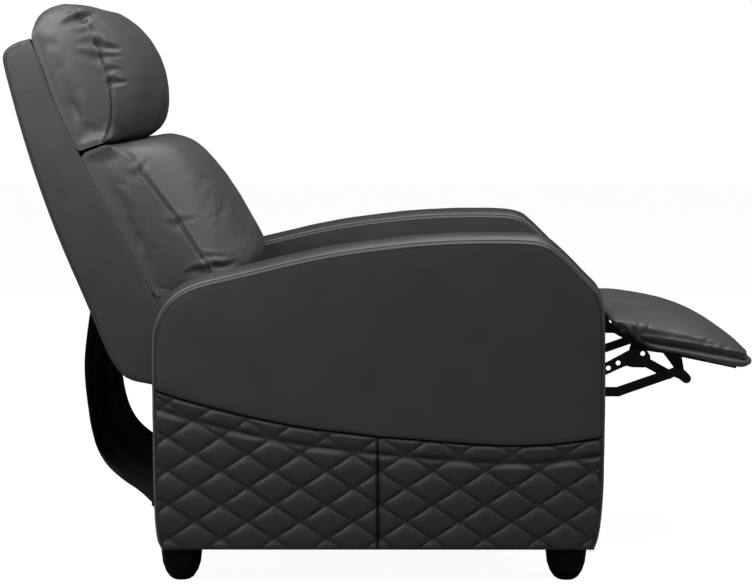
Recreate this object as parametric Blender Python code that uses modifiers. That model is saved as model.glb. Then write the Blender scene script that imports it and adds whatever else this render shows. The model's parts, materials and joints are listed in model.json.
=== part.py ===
"""Single-seat push-back recliner, modelled in its television position with the footrest out.

Frame: metres, +Z up, the sitter faces -Y, the sitter's left is +X, the floor is z = 0.
Side views are drawn with a forward distance from the arm fronts and a height above the floor.
"""
import math

import bmesh
import bpy
from mathutils import Matrix, Vector

# Overall
WIDTH = 0.700
FRONT_Y = -0.3679
CLEARANCE = 0.0003
PIVOT_CLEARANCE = 0.0005
KNUCKLE_CLEARANCE = 0.0012

# Arms and feet
ARM_DEPTH = 0.757
ARM_HEIGHT = 0.527
ARM_THICKNESS = 0.095
INNER_HALF = WIDTH / 2 - ARM_THICKNESS
FOOT_HEIGHT = 0.058
FOOT_TOP_RADIUS = 0.0355
FRONT_FOOT_INSET = 0.048
REAR_FOOT_INSET = 0.040
FOOT_SHARES = [
    (1.000, 1.000), (0.985, 0.800), (0.930, 0.500), (0.790, 0.250), (0.600, 0.070), (0.440, 0.000),
]
PANEL_THICKNESS = 0.012
PANEL_ROUNDING = 0.004
INNER_PANEL_THICKNESS = 0.015
BOXING_DEPTH = 0.012
BOXING_CROWN = 0.009
PANEL_SEAM = 0.0008
SEAM_FORWARD = -0.380
ARM_OUTLINE_SHARES = [
    (0.017, 0.000), (0.004, 0.036), (0.000, 0.175), (0.000, 0.459), (0.000, 0.694),
    (0.009, 0.742), (0.030, 0.797), (0.062, 0.837), (0.107, 0.863), (0.194, 0.890),
    (0.301, 0.928), (0.408, 0.960), (0.568, 0.989), (0.674, 0.998), (0.781, 1.000),
    (0.865, 0.994), (0.898, 0.958), (0.930, 0.913), (0.955, 0.875), (0.982, 0.837),
    (0.992, 0.797), (0.997, 0.744), (1.000, 0.505), (0.999, 0.201), (0.995, 0.102),
    (0.989, 0.038), (0.979, 0.000),
]
QUILT_LINE_SHARES = [
    (0.000, 0.522), (0.075, 0.486), (0.214, 0.435), (0.325, 0.402), (0.436, 0.383),
    (0.498, 0.372), (0.614, 0.359), (0.748, 0.343), (0.880, 0.343), (1.000, 0.370),
]

# Quilting on the lower arm panels
DIAMOND_WIDTH = 0.0895
DIAMOND_HEIGHT = 0.058
DIAMOND_CROWN = 0.007
QUILT_VALLEY = 0.007
LATTICE_FORWARD = -0.690
LATTICE_UP = 0.224
CELL_STEPS = 3

# Rails between and inside the arms
CROSS_RAIL_HEIGHT = 0.070
CROSS_RAIL_DEPTH = 0.025
CROSS_RAIL_UP = 0.065
FRONT_RAIL_FORWARD = -0.1325
REAR_RAIL_INSET = 0.0445
REAR_RAIL_FORWARD = REAR_RAIL_INSET - ARM_DEPTH
MECHANISM_RAIL_HEIGHT = 0.059
MECHANISM_RAIL_THICKNESS = 0.0212
MECHANISM_RAIL_INSET = 0.032
MECHANISM_RAIL_REAR = MECHANISM_RAIL_INSET - ARM_DEPTH
MECHANISM_RAIL_FRONT = -0.092
WOOD_EDGE = 0.002

# Steel plates: each layer is one plate deeper into the chair
PLATE = 0.003
LAYER_PITCH = 0.0035
RAIL_FACE = INNER_HALF - CLEARANCE - MECHANISM_RAIL_THICKNESS
OUTER_LAYER = RAIL_FACE - PIVOT_CLEARANCE - PLATE / 2
BRACKET_SETBACK = 0.0165
BRACKET_LAYER = OUTER_LAYER - BRACKET_SETBACK
RIVET_RADIUS = 0.004
RIVET_HEAD_RADIUS = 0.0068
RIVET_HEAD = 0.0015
RIVET_SIDES = 10

# Push-back carriage
SWING_LENGTH = 0.150
SWING_LEAN_SHARE = 0.25
SWING_BASE_UP = 0.165
SWING_WIDTH = 0.022
FRONT_SWING_FORWARD = -0.260
REAR_SWING_FORWARD = -0.560
SIDE_PLATE_LENGTH = 0.777
SIDE_PLATE_TOP = 0.390
SIDE_PLATE_SHARES = [
    (-0.007, 0.977), (-0.013, 0.897), (-0.026, 0.846), (-0.064, 0.815), (-0.251, 0.764),
    (-0.824, 0.759), (-0.973, 0.272), (-0.988, 0.263), (-1.000, 0.282), (-0.997, 0.318),
    (-0.888, 0.769), (-0.909, 0.885), (-0.910, 0.949), (-0.888, 0.969), (-0.865, 0.959),
    (-0.843, 0.932), (-0.044, 0.932), (-0.032, 0.977), (-0.027, 0.997), (-0.012, 0.997),
]
SEAT_RAIL_DEPTH = 0.025
SEAT_RAIL_HEIGHT = 0.025
SEAT_FRONT_RAIL = -0.0925
SEAT_REAR_RAIL = -0.6025
SPRING_WIRE = 0.002
SPRING_COUNT = 5
SPRING_SPAN = 0.340
SPRING_WAVES = 7
SPRING_SWING = 0.017
CURTAIN_BAR_RADIUS = 0.006
CURTAIN_BAR_UP = 0.112
CURTAIN_BAR_FORWARD = -0.768

# Seat cushion
SEAT_LENGTH = 0.610
SEAT_BOTTOM = 0.3937
SEAT_HEIGHT = 0.086
SEAT_GAP = 0.006
SEAT_HALF_WIDTH = INNER_HALF - SEAT_GAP
SEAT_SIDE_SHARES = [
    (-0.984, 0.000), (-0.993, 0.290), (-0.980, 0.541), (-0.852, 0.628), (-0.574, 0.661),
    (-0.246, 0.705), (-0.066, 0.683), (-0.007, 0.563), (0.005, 0.322), (-0.007, 0.104),
    (-0.082, 0.000), (-0.574, 0.000),
]
SEAT_MIDDLE_SHARES = [
    (-0.984, 0.000), (-0.997, 0.344), (-0.977, 0.650), (-0.852, 0.803), (-0.574, 0.891),
    (-0.246, 1.000), (-0.066, 0.978), (0.000, 0.781), (0.012, 0.432), (0.000, 0.126),
    (-0.082, 0.000), (-0.574, 0.000),
]

# Back, drawn from its pivot: rearward run and rise
BACK_PIVOT = (-0.690, 0.360)
BACK_RUN = 0.330
BACK_RISE = 0.560
BACK_GAP = 0.010
BACK_HALF_WIDTH = INNER_HALF - BACK_GAP
BACK_COVER = 0.012
BACK_SIDE_THICKNESS = 0.0186
BACK_ROUNDING = 0.004
BACK_BOARD_THICKNESS = 0.015
BACK_BOARD_SETBACK = 0.0002
BACK_BOARD_GAP = 0.0004
BACK_BRACKET_WIDTH = 0.028
BACK_BRACKET_KNEE = (-0.775, 0.455)
BACK_BRACKET_TOP = (-0.838, 0.575)
BACK_REAR_SHARES = [
    (0.856, 1.001), (0.923, 0.991), (0.975, 0.973), (0.997, 0.953), (0.997, 0.929),
    (0.970, 0.861), (0.912, 0.725), (0.836, 0.573), (0.727, 0.389), (0.570, 0.170),
    (0.491, 0.048), (0.439, -0.009), (0.376, -0.048), (0.245, -0.062),
]
BACK_SEAM_SHARES = [
    (0.136, 0.071), (0.212, 0.173), (0.403, 0.391), (0.561, 0.570), (0.624, 0.650),
    (0.676, 0.716), (0.752, 0.812), (0.806, 0.914),
]
CUSHION_STEP = 0.007
CUSHION_HALF_WIDTH = BACK_HALF_WIDTH - CUSHION_STEP
PILLOW_STEP = 0.009
PILLOW_HALF_WIDTH = BACK_HALF_WIDTH - PILLOW_STEP
PILLOW_SIDE_SHARES = [
    (0.624, 0.654), (0.640, 0.678), (0.714, 0.770), (0.794, 0.899), (0.848, 0.998),
    (0.848, 1.062), (0.752, 1.104), (0.630, 1.106), (0.532, 1.045), (0.465, 0.942),
    (0.420, 0.823), (0.433, 0.728), (0.523, 0.674), (0.590, 0.661),
]
PILLOW_MIDDLE_SHARES = [
    (0.620, 0.658), (0.636, 0.680), (0.714, 0.770), (0.794, 0.899), (0.848, 0.998),
    (0.806, 1.074), (0.712, 1.104), (0.560, 1.100), (0.415, 1.056), (0.295, 0.958),
    (0.250, 0.850), (0.262, 0.735), (0.355, 0.690), (0.570, 0.668),
]
LUMBAR_SIDE_SHARES = [
    (0.222, 0.189), (0.372, 0.360), (0.517, 0.525), (0.592, 0.617), (0.615, 0.643),
    (0.582, 0.651), (0.540, 0.660), (0.436, 0.675), (0.320, 0.628), (0.224, 0.546),
    (0.122, 0.456), (0.016, 0.363), (-0.098, 0.270), (0.000, 0.195),
]
LUMBAR_MIDDLE_SHARES = [
    (0.222, 0.189), (0.372, 0.360), (0.517, 0.525), (0.592, 0.617), (0.610, 0.640),
    (0.570, 0.652), (0.430, 0.672), (0.275, 0.696), (0.150, 0.692), (0.045, 0.650),
    (-0.085, 0.560), (-0.205, 0.440), (-0.330, 0.300), (-0.152, 0.207),
]

# Rear curtain, drawn from its hem
CURTAIN_STEP = 0.0255
CURTAIN_HALF_WIDTH = BACK_HALF_WIDTH - CURTAIN_STEP
CURTAIN_THICKNESS = 0.003
CURTAIN_HEM = (-0.7765, 0.112)
CURTAIN_RUN = 0.118
CURTAIN_RISE = 0.3415
CURTAIN_BELLY = 0.010
CURTAIN_SHARES = [
    (0.873, 1.000), (0.968, 0.820), (0.996, 0.691), (0.979, 0.536), (0.896, 0.328),
    (0.713, 0.199), (0.454, 0.120), (0.179, 0.061), (0.000, 0.000),
]

# Footrest linkage pivots
LONG_PIVOT = (-0.015, 0.381)
REAR_PIVOT = (-0.101, 0.346)
COUPLER_TOP = (0.084, 0.364)
PAD_PIVOT = (0.062, 0.366)
KNUCKLE = (0.124, 0.342)
EAR_PIVOT = (0.156, 0.335)
LOWER_KNUCKLE = (0.039, 0.312)
BAR_WIDTH = 0.0165
REAR_BAR_BENDS = [(-0.030, 0.3155), (0.005, 0.312)]
FRONT_LINK_BENDS = [(0.134, 0.3465), (0.146, 0.3425)]
LIGHTENING_RADIUS = 0.0043
LIGHTENING_HOLES = [(0.021, 0.3525), (0.038, 0.3615), (0.0805, 0.3780)]
LONG_LINK_LENGTH = 0.119
LONG_LINK_HEIGHT = 0.062
LONG_LINK_CORNER = (-0.0235, 0.3285)
LONG_LINK_SHARES = [
    (0.017, 0.960), (0.071, 1.000), (0.134, 0.944), (0.151, 0.831), (0.155, 0.637),
    (0.197, 0.484), (0.265, 0.484), (0.366, 0.573), (0.672, 0.895), (0.765, 0.945),
    (0.870, 0.930), (0.950, 0.850), (0.985, 0.734), (0.985, 0.573), (0.965, 0.460),
    (0.903, 0.403), (0.718, 0.411), (0.634, 0.452), (0.534, 0.371), (0.366, 0.218),
    (0.197, 0.065), (0.113, 0.000), (0.038, 0.040), (0.000, 0.169), (0.000, 0.347),
    (0.000, 0.702),
]
BRACKET_LENGTH = 0.192
BRACKET_HEIGHT = 0.076
BRACKET_CORNER = (0.0535, 0.3265)
BRACKET_SHARES = [
    (0.047, 0.996), (0.026, 0.770), (0.000, 0.481), (0.023, 0.421), (0.065, 0.421),
    (0.086, 0.493), (0.089, 0.625), (0.122, 0.743), (0.331, 0.671), (0.378, 0.520),
    (0.435, 0.322), (0.490, 0.138), (0.503, 0.033), (0.539, 0.000), (0.573, 0.059),
    (0.578, 0.164), (0.523, 0.296), (0.503, 0.579), (1.000, 0.316), (1.000, 0.480),
]
BOARD_REAR = (0.0625, 0.4027)
BOARD_FRONT = (0.2500, 0.3627)
BOARD_THICKNESS = 0.012
BOARD_OVERHANG = 0.0022
BOARD_HALF_WIDTH = BRACKET_LAYER + BOARD_OVERHANG

# Footrest pad
FOOT_PAD_LENGTH = 0.310
FOOT_PAD_HEIGHT = 0.130
FOOT_PAD_UP = 0.335
FOOT_PAD_GAP = 0.0175
FOOT_PAD_HALF_WIDTH = INNER_HALF - FOOT_PAD_GAP
RECESS_GAP = 0.0006
RECESS_OVERRUN = 0.060
FOOT_PAD_SIDE_SHARES = [
    (0.206, 0.515), (0.139, 0.646), (0.061, 0.746), (0.084, 0.815), (0.200, 0.762),
    (0.339, 0.690), (0.516, 0.600), (0.694, 0.490), (0.815, 0.365), (0.860, 0.270),
    (0.845, 0.140), (0.780, 0.112), (0.523, 0.277), (0.297, 0.377),
]
FOOT_PAD_MIDDLE_SHARES = [
    (0.206, 0.515), (0.139, 0.646), (0.055, 0.760), (0.110, 0.870), (0.219, 0.905),
    (0.348, 0.870), (0.526, 0.790), (0.706, 0.625), (0.850, 0.405), (0.915, 0.240),
    (0.905, 0.105), (0.840, 0.070), (0.523, 0.277), (0.297, 0.377),
]

# Soft forms: stations across a cushion, with the fullness and the pinch at each
STATION_SHARES = [
    (-1.000, 0.00, 0.100), (-0.955, 0.00, 0.000), (-0.840, 0.55, 0.000), (-0.660, 0.90, 0.000),
    (-0.620, 0.88, 0.022), (-0.580, 0.95, 0.000), (0.000, 1.00, 0.000), (0.580, 0.95, 0.000),
    (0.620, 0.88, 0.022), (0.660, 0.90, 0.000), (0.840, 0.55, 0.000), (0.955, 0.00, 0.000),
    (1.000, 0.00, 0.100),
]
SUBDIVISIONS = 1
CAGE_REACH = 0.005

SIDES = (("left", 1), ("right", -1))
SIDE_VIEW = Matrix(((0, 0, -1), (-1, 0, 0), (0, 1, 0)))
SWING_TILT = math.asin(SWING_LEAN_SHARE)
SWING_FORWARD_STEP = SWING_LENGTH * math.sin(SWING_TILT)
SWING_UP_STEP = SWING_LENGTH * math.cos(SWING_TILT)


def clear_scene():
    for item in list(bpy.data.objects):
        bpy.data.objects.remove(item, do_unlink=True)


def make_collection(name):
    group = bpy.data.collections.new(name)
    bpy.context.scene.collection.children.link(group)
    return group


def place(forward, up, across=0.0):
    """World point of a side-view point."""
    return Vector((across, FRONT_Y - forward, up))


def from_shares(shares, corner, length, height):
    return [(corner[0] + f * length, corner[1] + u * height) for f, u in shares]


def back_points(shares):
    return from_shares(shares, BACK_PIVOT, -BACK_RUN, BACK_RISE)


def layer(number):
    """Distance of a plate layer's middle from the chair's centre plane."""
    return OUTER_LAYER - number * LAYER_PITCH


def circle_points(centre, radius, sides):
    turns = [math.tau * i / sides for i in range(sides)]
    return [(centre[0] + radius * math.cos(t), centre[1] + radius * math.sin(t)) for t in turns]


def offset_outline(points, distance):
    """A closed outline moved outward by distance, corner by corner."""
    moved = []
    area = sum(a[0] * b[1] - b[0] * a[1] for a, b in zip(points, points[1:] + points[:1]))
    turn = 1 if area > 0 else -1
    for i, here in enumerate(points):
        before = Vector(here) - Vector(points[i - 1])
        after = Vector(points[(i + 1) % len(points)]) - Vector(here)
        n1 = Vector((before.y, -before.x)).normalized() * turn
        n2 = Vector((after.y, -after.x)).normalized() * turn
        middle = (n1 + n2).normalized()
        reach = distance / max(middle.dot(n1), 0.5)
        moved.append((here[0] + middle.x * reach, here[1] + middle.y * reach))
    return moved


def strip_edge(path, distance):
    """An open line moved sideways by distance, to its left."""
    moved = []
    for i, (forward, up) in enumerate(path):
        a = Vector(path[max(i - 1, 0)])
        b = Vector(path[min(i + 1, len(path) - 1)])
        side = Vector((-(b - a).y, (b - a).x)).normalized() * distance
        moved.append((forward + side.x, up + side.y))
    return moved


def bar_outline(path, width, end_steps=6):
    """A strip of constant width along a path, with round ends."""
    radius = width / 2
    left, right = [], []
    for i, point in enumerate(path):
        a = Vector(path[max(i - 1, 0)])
        b = Vector(path[min(i + 1, len(path) - 1)])
        side = Vector((-(b - a).y, (b - a).x)).normalized() * radius
        left.append((point[0] + side.x, point[1] + side.y))
        right.append((point[0] - side.x, point[1] - side.y))
    outline = list(left)
    for centre, start, edge in ((path[-1], left[-1], right), (path[0], right[0], None)):
        first = math.atan2(start[1] - centre[1], start[0] - centre[0])
        for step in range(1, end_steps):
            angle = first - math.pi * step / end_steps
            outline.append((centre[0] + radius * math.cos(angle), centre[1] + radius * math.sin(angle)))
        if edge:
            outline += list(reversed(edge))
    return outline


def finish(item, material, group, smooth=False, angle=math.radians(35)):
    for old in list(item.users_collection):
        old.objects.unlink(item)
    group.objects.link(item)
    item.data.materials.clear()
    item.data.materials.append(material)
    if smooth and item.type == "MESH":
        item.data.shade_smooth()
        item.data.set_sharp_from_angle(angle=angle)
    return item


def flat_piece(name, loops, pivot, across, thickness, rounding=0.0):
    """A flat outline with holes, drawn in side view and extruded across the chair."""
    data = bpy.data.curves.new(name, "CURVE")
    data.dimensions = "2D"
    data.fill_mode = "BOTH"
    data.extrude = thickness / 2 - rounding
    if rounding:
        data.bevel_depth = rounding
        data.bevel_resolution = 1
        data.offset = -rounding
    for loop in loops:
        line = data.splines.new("POLY")
        line.points.add(len(loop) - 1)
        for point, (forward, up) in zip(line.points, loop):
            point.co = (forward - pivot[0], up - pivot[1], 0, 1)
        line.use_cyclic_u = True
    item = bpy.data.objects.new(name, data)
    item.location = place(pivot[0], pivot[1], across)
    item.rotation_euler = SIDE_VIEW.to_euler()
    bpy.context.scene.collection.objects.link(item)
    return item


def as_mesh(item):
    """A curve object turned into a closed mesh object in the same place."""
    bpy.context.view_layer.update()
    evaluated = item.evaluated_get(bpy.context.evaluated_depsgraph_get())
    data = bpy.data.meshes.new_from_object(evaluated)
    work = bmesh.new()
    work.from_mesh(data)
    bmesh.ops.remove_doubles(work, verts=work.verts, dist=CLEARANCE / 30)
    work.to_mesh(data)
    work.free()
    name = item.name
    made = bpy.data.objects.new(name + "_solid", data)
    made.matrix_world = item.matrix_world.copy()
    bpy.context.scene.collection.objects.link(made)
    bpy.data.objects.remove(item, do_unlink=True)
    made.name = name
    return made


def loft(name, sections, pivot):
    """A closed skin over closed sections of equal point counts, with flat ends."""
    work = bmesh.new()
    origin = place(*pivot)
    rings = [[work.verts.new(Vector(point) - origin) for point in ring] for ring in sections]
    count = len(rings[0])
    for a, b in zip(rings, rings[1:]):
        for i in range(count):
            j = (i + 1) % count
            work.faces.new((a[i], a[j], b[j], b[i]))
    work.faces.new(rings[0])
    work.faces.new(rings[-1])
    bmesh.ops.recalc_face_normals(work, faces=work.faces)
    data = bpy.data.meshes.new(name)
    work.to_mesh(data)
    work.free()
    item = bpy.data.objects.new(name, data)
    item.location = origin
    bpy.context.scene.collection.objects.link(item)
    return item


def box(name, centre, size, edge):
    bpy.ops.mesh.primitive_cube_add(size=1, location=centre)
    item = bpy.context.active_object
    item.name = name
    item.scale = size
    bpy.ops.object.transform_apply(location=False, rotation=False, scale=True)
    bevel = item.modifiers.new("edge", "BEVEL")
    bevel.width = edge
    bevel.segments = 1
    return item


def tube_across(name, pivot, radius, length, sides=16):
    bpy.ops.mesh.primitive_cylinder_add(vertices=sides, radius=radius, depth=length)
    item = bpy.context.active_object
    item.name = name
    item.rotation_euler = (0, math.pi / 2, 0)
    item.location = place(*pivot)
    return item


def cage_ring(points, reach):
    """A ring pushed out at its corners, so that its rounded form passes close to the drawn points."""
    pushed = []
    for i, point in enumerate(points):
        middle = (points[i - 1] + points[(i + 1) % len(points)]) / 2
        push = (point - middle) / 3
        if push.length > reach:
            push = push.normalized() * reach
        pushed.append(point + push)
    return pushed


def cushion(name, side_points, middle_points, half_width, pivot, reach):
    """A stuffed form: full in the middle, drawn in at its sides, pinched at two sewn channels."""
    sections = []
    for share, fullness, pinch in STATION_SHARES:
        ring = []
        for s, m in zip(side_points, middle_points):
            ring.append(Vector(s).lerp(Vector(m), fullness))
        centre = sum(ring, Vector((0, 0))) / len(ring)
        ring = cage_ring([point.lerp(centre, pinch) for point in ring], reach)
        sections.append([place(p.x, p.y, share * half_width) for p in ring])
    item = loft(name, sections, pivot)
    soften = item.modifiers.new("soft", "SUBSURF")
    soften.levels = SUBDIVISIONS
    soften.render_levels = SUBDIVISIONS
    return item


def stud_profile(owner, reach, far_head):
    """Radii and depths of a pivot stud staked in one plate and reaching through others."""
    way = 1 if reach > owner else -1
    own_face = owner - way * PLATE / 2
    end = reach + way * CLEARANCE
    profile = [(RIVET_RADIUS, own_face - way * RIVET_HEAD)]
    profile += [(RIVET_HEAD_RADIUS, own_face - way * RIVET_HEAD / 2), (RIVET_HEAD_RADIUS, owner)]
    profile += [(RIVET_RADIUS, owner), (RIVET_RADIUS, end)]
    if far_head:
        profile += [(RIVET_HEAD_RADIUS, end), (RIVET_HEAD_RADIUS, end + way * RIVET_HEAD / 2)]
        profile += [(RIVET_RADIUS, end + way * RIVET_HEAD)]
    return profile


def knuckle_profile(inner, outer):
    """Radii and depths of a pivot stud with a head at each end of its stretch."""
    low = inner - CLEARANCE
    high = outer + CLEARANCE
    profile = [(RIVET_RADIUS, low - RIVET_HEAD), (RIVET_HEAD_RADIUS, low - RIVET_HEAD / 2)]
    profile += [(RIVET_HEAD_RADIUS, low), (RIVET_RADIUS, low), (RIVET_RADIUS, high)]
    profile += [(RIVET_HEAD_RADIUS, high), (RIVET_HEAD_RADIUS, high + RIVET_HEAD / 2)]
    profile += [(RIVET_RADIUS, high + RIVET_HEAD)]
    return profile


def add_stud(item, pivot, side, profile, cutters):
    """Joins a turned stud to a plate."""
    work = bmesh.new()
    rings = []
    for radius, depth in profile:
        ring = circle_points(pivot, radius, RIVET_SIDES)
        rings.append([work.verts.new(place(f, u, side * depth)) for f, u in ring])
    for a, b in zip(rings, rings[1:]):
        for i in range(RIVET_SIDES):
            j = (i + 1) % RIVET_SIDES
            work.faces.new((a[i], a[j], b[j], b[i]))
    work.faces.new(rings[0])
    work.faces.new(rings[-1])
    bmesh.ops.recalc_face_normals(work, faces=work.faces)
    name = item.name + "_stud"
    data = bpy.data.meshes.new(name)
    work.to_mesh(data)
    work.free()
    stud = bpy.data.objects.new(name, data)
    bpy.context.scene.collection.objects.link(stud)
    finish(stud, item.data.materials[0], cutters)
    stud.hide_render = True
    stud.display_type = "WIRE"
    join = item.modifiers.new("stud", "BOOLEAN")
    join.operation = "UNION"
    join.object = stud
    join.solver = "EXACT"


def pin_hole(pivot, clearance=PIVOT_CLEARANCE):
    return circle_points(pivot, RIVET_RADIUS + clearance, RIVET_SIDES)


# Materials
def make_material(name, colour, roughness, metallic=0.0):
    material = bpy.data.materials.new(name)
    material.use_nodes = True
    shader = material.node_tree.nodes["Principled BSDF"]
    shader.inputs["Base Color"].default_value = (*colour, 1.0)
    shader.inputs["Roughness"].default_value = roughness
    shader.inputs["Metallic"].default_value = metallic
    material.diffuse_color = (*colour, 1.0)
    return material


def leather():
    return make_material("anthracite_leatherette", (0.045, 0.048, 0.052), 0.5)


def quilt_leather():
    return make_material("quilted_leatherette", (0.020, 0.020, 0.022), 0.5)


def edge_leather():
    return make_material("edge_leatherette", (0.016, 0.016, 0.018), 0.5)


def black_steel():
    return make_material("black_painted_steel", (0.008, 0.008, 0.009), 0.4, 0.3)


def plain_steel():
    return make_material("zinc_plated_steel", (0.42, 0.42, 0.42), 0.35, 1.0)


def plywood():
    return make_material("plywood", (0.45, 0.31, 0.18), 0.75)


def hardwood():
    return make_material("hardwood", (0.38, 0.24, 0.13), 0.7)


def black_plastic():
    return make_material("black_plastic", (0.004, 0.004, 0.004), 0.45)


def black_cloth():
    return make_material("black_cloth", (0.006, 0.006, 0.006), 0.95)


# Arms
def arm_outline():
    return from_shares(ARM_OUTLINE_SHARES, (-ARM_DEPTH, FOOT_HEIGHT), ARM_DEPTH, ARM_HEIGHT)


def quilt_line():
    return from_shares(QUILT_LINE_SHARES, (-ARM_DEPTH, FOOT_HEIGHT), ARM_DEPTH, ARM_HEIGHT)


def line_height(line, forward):
    for (f1, u1), (f2, u2) in zip(line, line[1:]):
        if f1 <= forward <= f2:
            return u1 + (u2 - u1) * (forward - f1) / (f2 - f1)
    return line[0][1] if forward < line[0][0] else line[-1][1]


def split_outline():
    """The arm's outline cut along the quilt line: upper panel, rear and front lower panels."""
    outline = arm_outline()
    line = quilt_line()
    above = [u > line_height(line, f) for f, u in outline]
    start = above.index(True)
    end = len(above) - above[::-1].index(True)
    low_line = [(f, u - PANEL_SEAM) for f, u in line]
    at_seam = line_height(line, SEAM_FORWARD) - PANEL_SEAM
    upper = outline[start:end] + list(reversed(line))
    rear_line = [p for p in low_line if p[0] < SEAM_FORWARD - PANEL_SEAM]
    front_line = [p for p in low_line if p[0] > SEAM_FORWARD + PANEL_SEAM]
    rear = outline[:start] + rear_line
    rear += [(SEAM_FORWARD - PANEL_SEAM, at_seam), (SEAM_FORWARD - PANEL_SEAM, FOOT_HEIGHT)]
    front = [(SEAM_FORWARD + PANEL_SEAM, at_seam)] + front_line + outline[end:]
    front += [(SEAM_FORWARD + PANEL_SEAM, FOOT_HEIGHT)]
    return upper, rear, front


def inset_outline(distance):
    inner = offset_outline(arm_outline(), -distance)
    return [(f, max(u, FOOT_HEIGHT)) for f, u in inner]


def arm_core(word, side, material, group):
    outer = WIDTH / 2 - PANEL_THICKNESS - CLEARANCE
    inner = INNER_HALF + INNER_PANEL_THICKNESS + CLEARANCE
    outline = inset_outline(BOXING_DEPTH)
    item = flat_piece("arm_core_" + word, [outline], (0, 0), side * (outer + inner) / 2, outer - inner)
    return finish(item, material, group)


def arm_side_panel(word, side, outline, material, group):
    across = side * (WIDTH / 2 - PANEL_THICKNESS / 2)
    item = flat_piece("arm_side_panel_" + word, [outline], (0, 0), across, PANEL_THICKNESS, PANEL_ROUNDING)
    return finish(item, material, group)


def arm_inner_panel(word, side, material, group):
    across = side * (INNER_HALF + INNER_PANEL_THICKNESS / 2)
    item = flat_piece("arm_inner_panel_" + word, [arm_outline()], (0, 0), across,
                      INNER_PANEL_THICKNESS, PANEL_ROUNDING)
    return finish(item, material, group)


def arm_boxing(word, side, material, group):
    """The crowned strip over the arm's front, top and rear, between the two panels."""
    outer = WIDTH / 2 - PANEL_THICKNESS - CLEARANCE
    inner = INNER_HALF + INNER_PANEL_THICKNESS + CLEARANCE
    seat = inset_outline(BOXING_DEPTH - CLEARANCE)
    across_shares = (0.0, 0.2, 0.5, 0.8, 1.0)
    shells = [offset_outline(arm_outline(), BOXING_CROWN * (1 - (2 * s - 1) ** 2)) for s in across_shares]
    sections = []
    for i in range(len(seat)):
        ring = [place(*seat[i], side * inner)]
        for s, shell in zip(across_shares, shells):
            forward, up = shell[i]
            ring.append(place(forward, max(up, FOOT_HEIGHT), side * (inner + s * (outer - inner))))
        ring.append(place(*seat[i], side * outer))
        sections.append(ring)
    item = loft("arm_boxing_" + word, sections, (0, 0))
    return finish(item, material, group, smooth=True)


def quilted_slab(name, low, high):
    """Stuffed diamonds between two side-view corners, on a flat back at local z = 0."""
    work = bmesh.new()
    step_a = Vector((DIAMOND_WIDTH / 2, DIAMOND_HEIGHT / 2))
    step_b = Vector((DIAMOND_WIDTH / 2, -DIAMOND_HEIGHT / 2))
    start = Vector((LATTICE_FORWARD, LATTICE_UP))
    verts = {}

    def lattice_vert(i, j):
        if (i, j) not in verts:
            point = start + step_a * (i / CELL_STEPS) + step_b * (j / CELL_STEPS)
            rise = DIAMOND_CROWN
            for count in (i, j):
                swell = 2 * (count % CELL_STEPS) / CELL_STEPS - 1
                rise *= 1 - swell * swell
            verts[(i, j)] = work.verts.new((point.x, point.y, QUILT_VALLEY + rise))
        return verts[(i, j)]

    reach = int((high[0] - low[0]) / DIAMOND_WIDTH + (high[1] - low[1]) / DIAMOND_HEIGHT) + 12
    for a in range(-reach, reach):
        for b in range(-reach, reach):
            middle = start + step_a * (a + 0.5) + step_b * (b + 0.5)
            inside = low[0] - DIAMOND_WIDTH < middle.x < high[0] + DIAMOND_WIDTH
            inside = inside and low[1] - DIAMOND_HEIGHT < middle.y < high[1] + DIAMOND_HEIGHT
            if not inside:
                continue
            for i in range(a * CELL_STEPS, (a + 1) * CELL_STEPS):
                for j in range(b * CELL_STEPS, (b + 1) * CELL_STEPS):
                    corners = ((i, j), (i, j + 1), (i + 1, j + 1), (i + 1, j))
                    work.faces.new([lattice_vert(*corner) for corner in corners])
    made = bmesh.ops.extrude_face_region(work, geom=list(work.faces))
    for part in made["geom"]:
        if isinstance(part, bmesh.types.BMVert):
            part.co.z = 0
    bmesh.ops.recalc_face_normals(work, faces=work.faces)
    data = bpy.data.meshes.new(name)
    work.to_mesh(data)
    work.free()
    item = bpy.data.objects.new(name, data)
    bpy.context.scene.collection.objects.link(item)
    return item


def arm_quilt(name, side, outline, material, group, cutters):
    low = (min(p[0] for p in outline), min(p[1] for p in outline))
    high = (max(p[0] for p in outline), max(p[1] for p in outline))
    slab = quilted_slab(name, low, high)
    back = side * (WIDTH / 2 - PANEL_THICKNESS)
    turn = SIDE_VIEW.to_4x4()
    if side > 0:
        turn = Matrix.Scale(-1, 4, (1, 0, 0)) @ turn
    slab.data.transform(turn)
    if side > 0:
        slab.data.flip_normals()
    slab.location = place(0, 0, back)
    depth = QUILT_VALLEY + DIAMOND_CROWN
    cutter = as_mesh(flat_piece(name + "_outline", [outline], (0, 0), side * WIDTH / 2, 3 * depth))
    finish(cutter, material, cutters)
    cutter.hide_render = True
    cutter.display_type = "WIRE"
    trim = slab.modifiers.new("trim", "BOOLEAN")
    trim.operation = "INTERSECT"
    trim.object = cutter
    trim.solver = "EXACT"
    return finish(slab, material, group, smooth=True)


def foot(name, forward, side, material, group):
    """A moulded foot under the middle of the arm, rounded in to a small flat sole."""
    top = FOOT_HEIGHT - CLEARANCE
    rounded = [(radius * FOOT_TOP_RADIUS, up * top) for radius, up in FOOT_SHARES]
    profile = [(0, top)] + rounded + [(0, 0)]
    data = bpy.data.meshes.new(name)
    points = [(radius, 0, up) for radius, up in profile]
    data.from_pydata(points, [(i, i + 1) for i in range(len(points) - 1)], [])
    item = bpy.data.objects.new(name, data)
    item.location = place(forward, 0, side * (WIDTH / 2 - ARM_THICKNESS / 2))
    bpy.context.scene.collection.objects.link(item)
    turn = item.modifiers.new("turn", "SCREW")
    turn.axis = "Z"
    turn.steps = 20
    turn.render_steps = 20
    turn.use_merge_vertices = True
    turn.merge_threshold = CLEARANCE / 3
    return finish(item, material, group, smooth=True)


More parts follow.
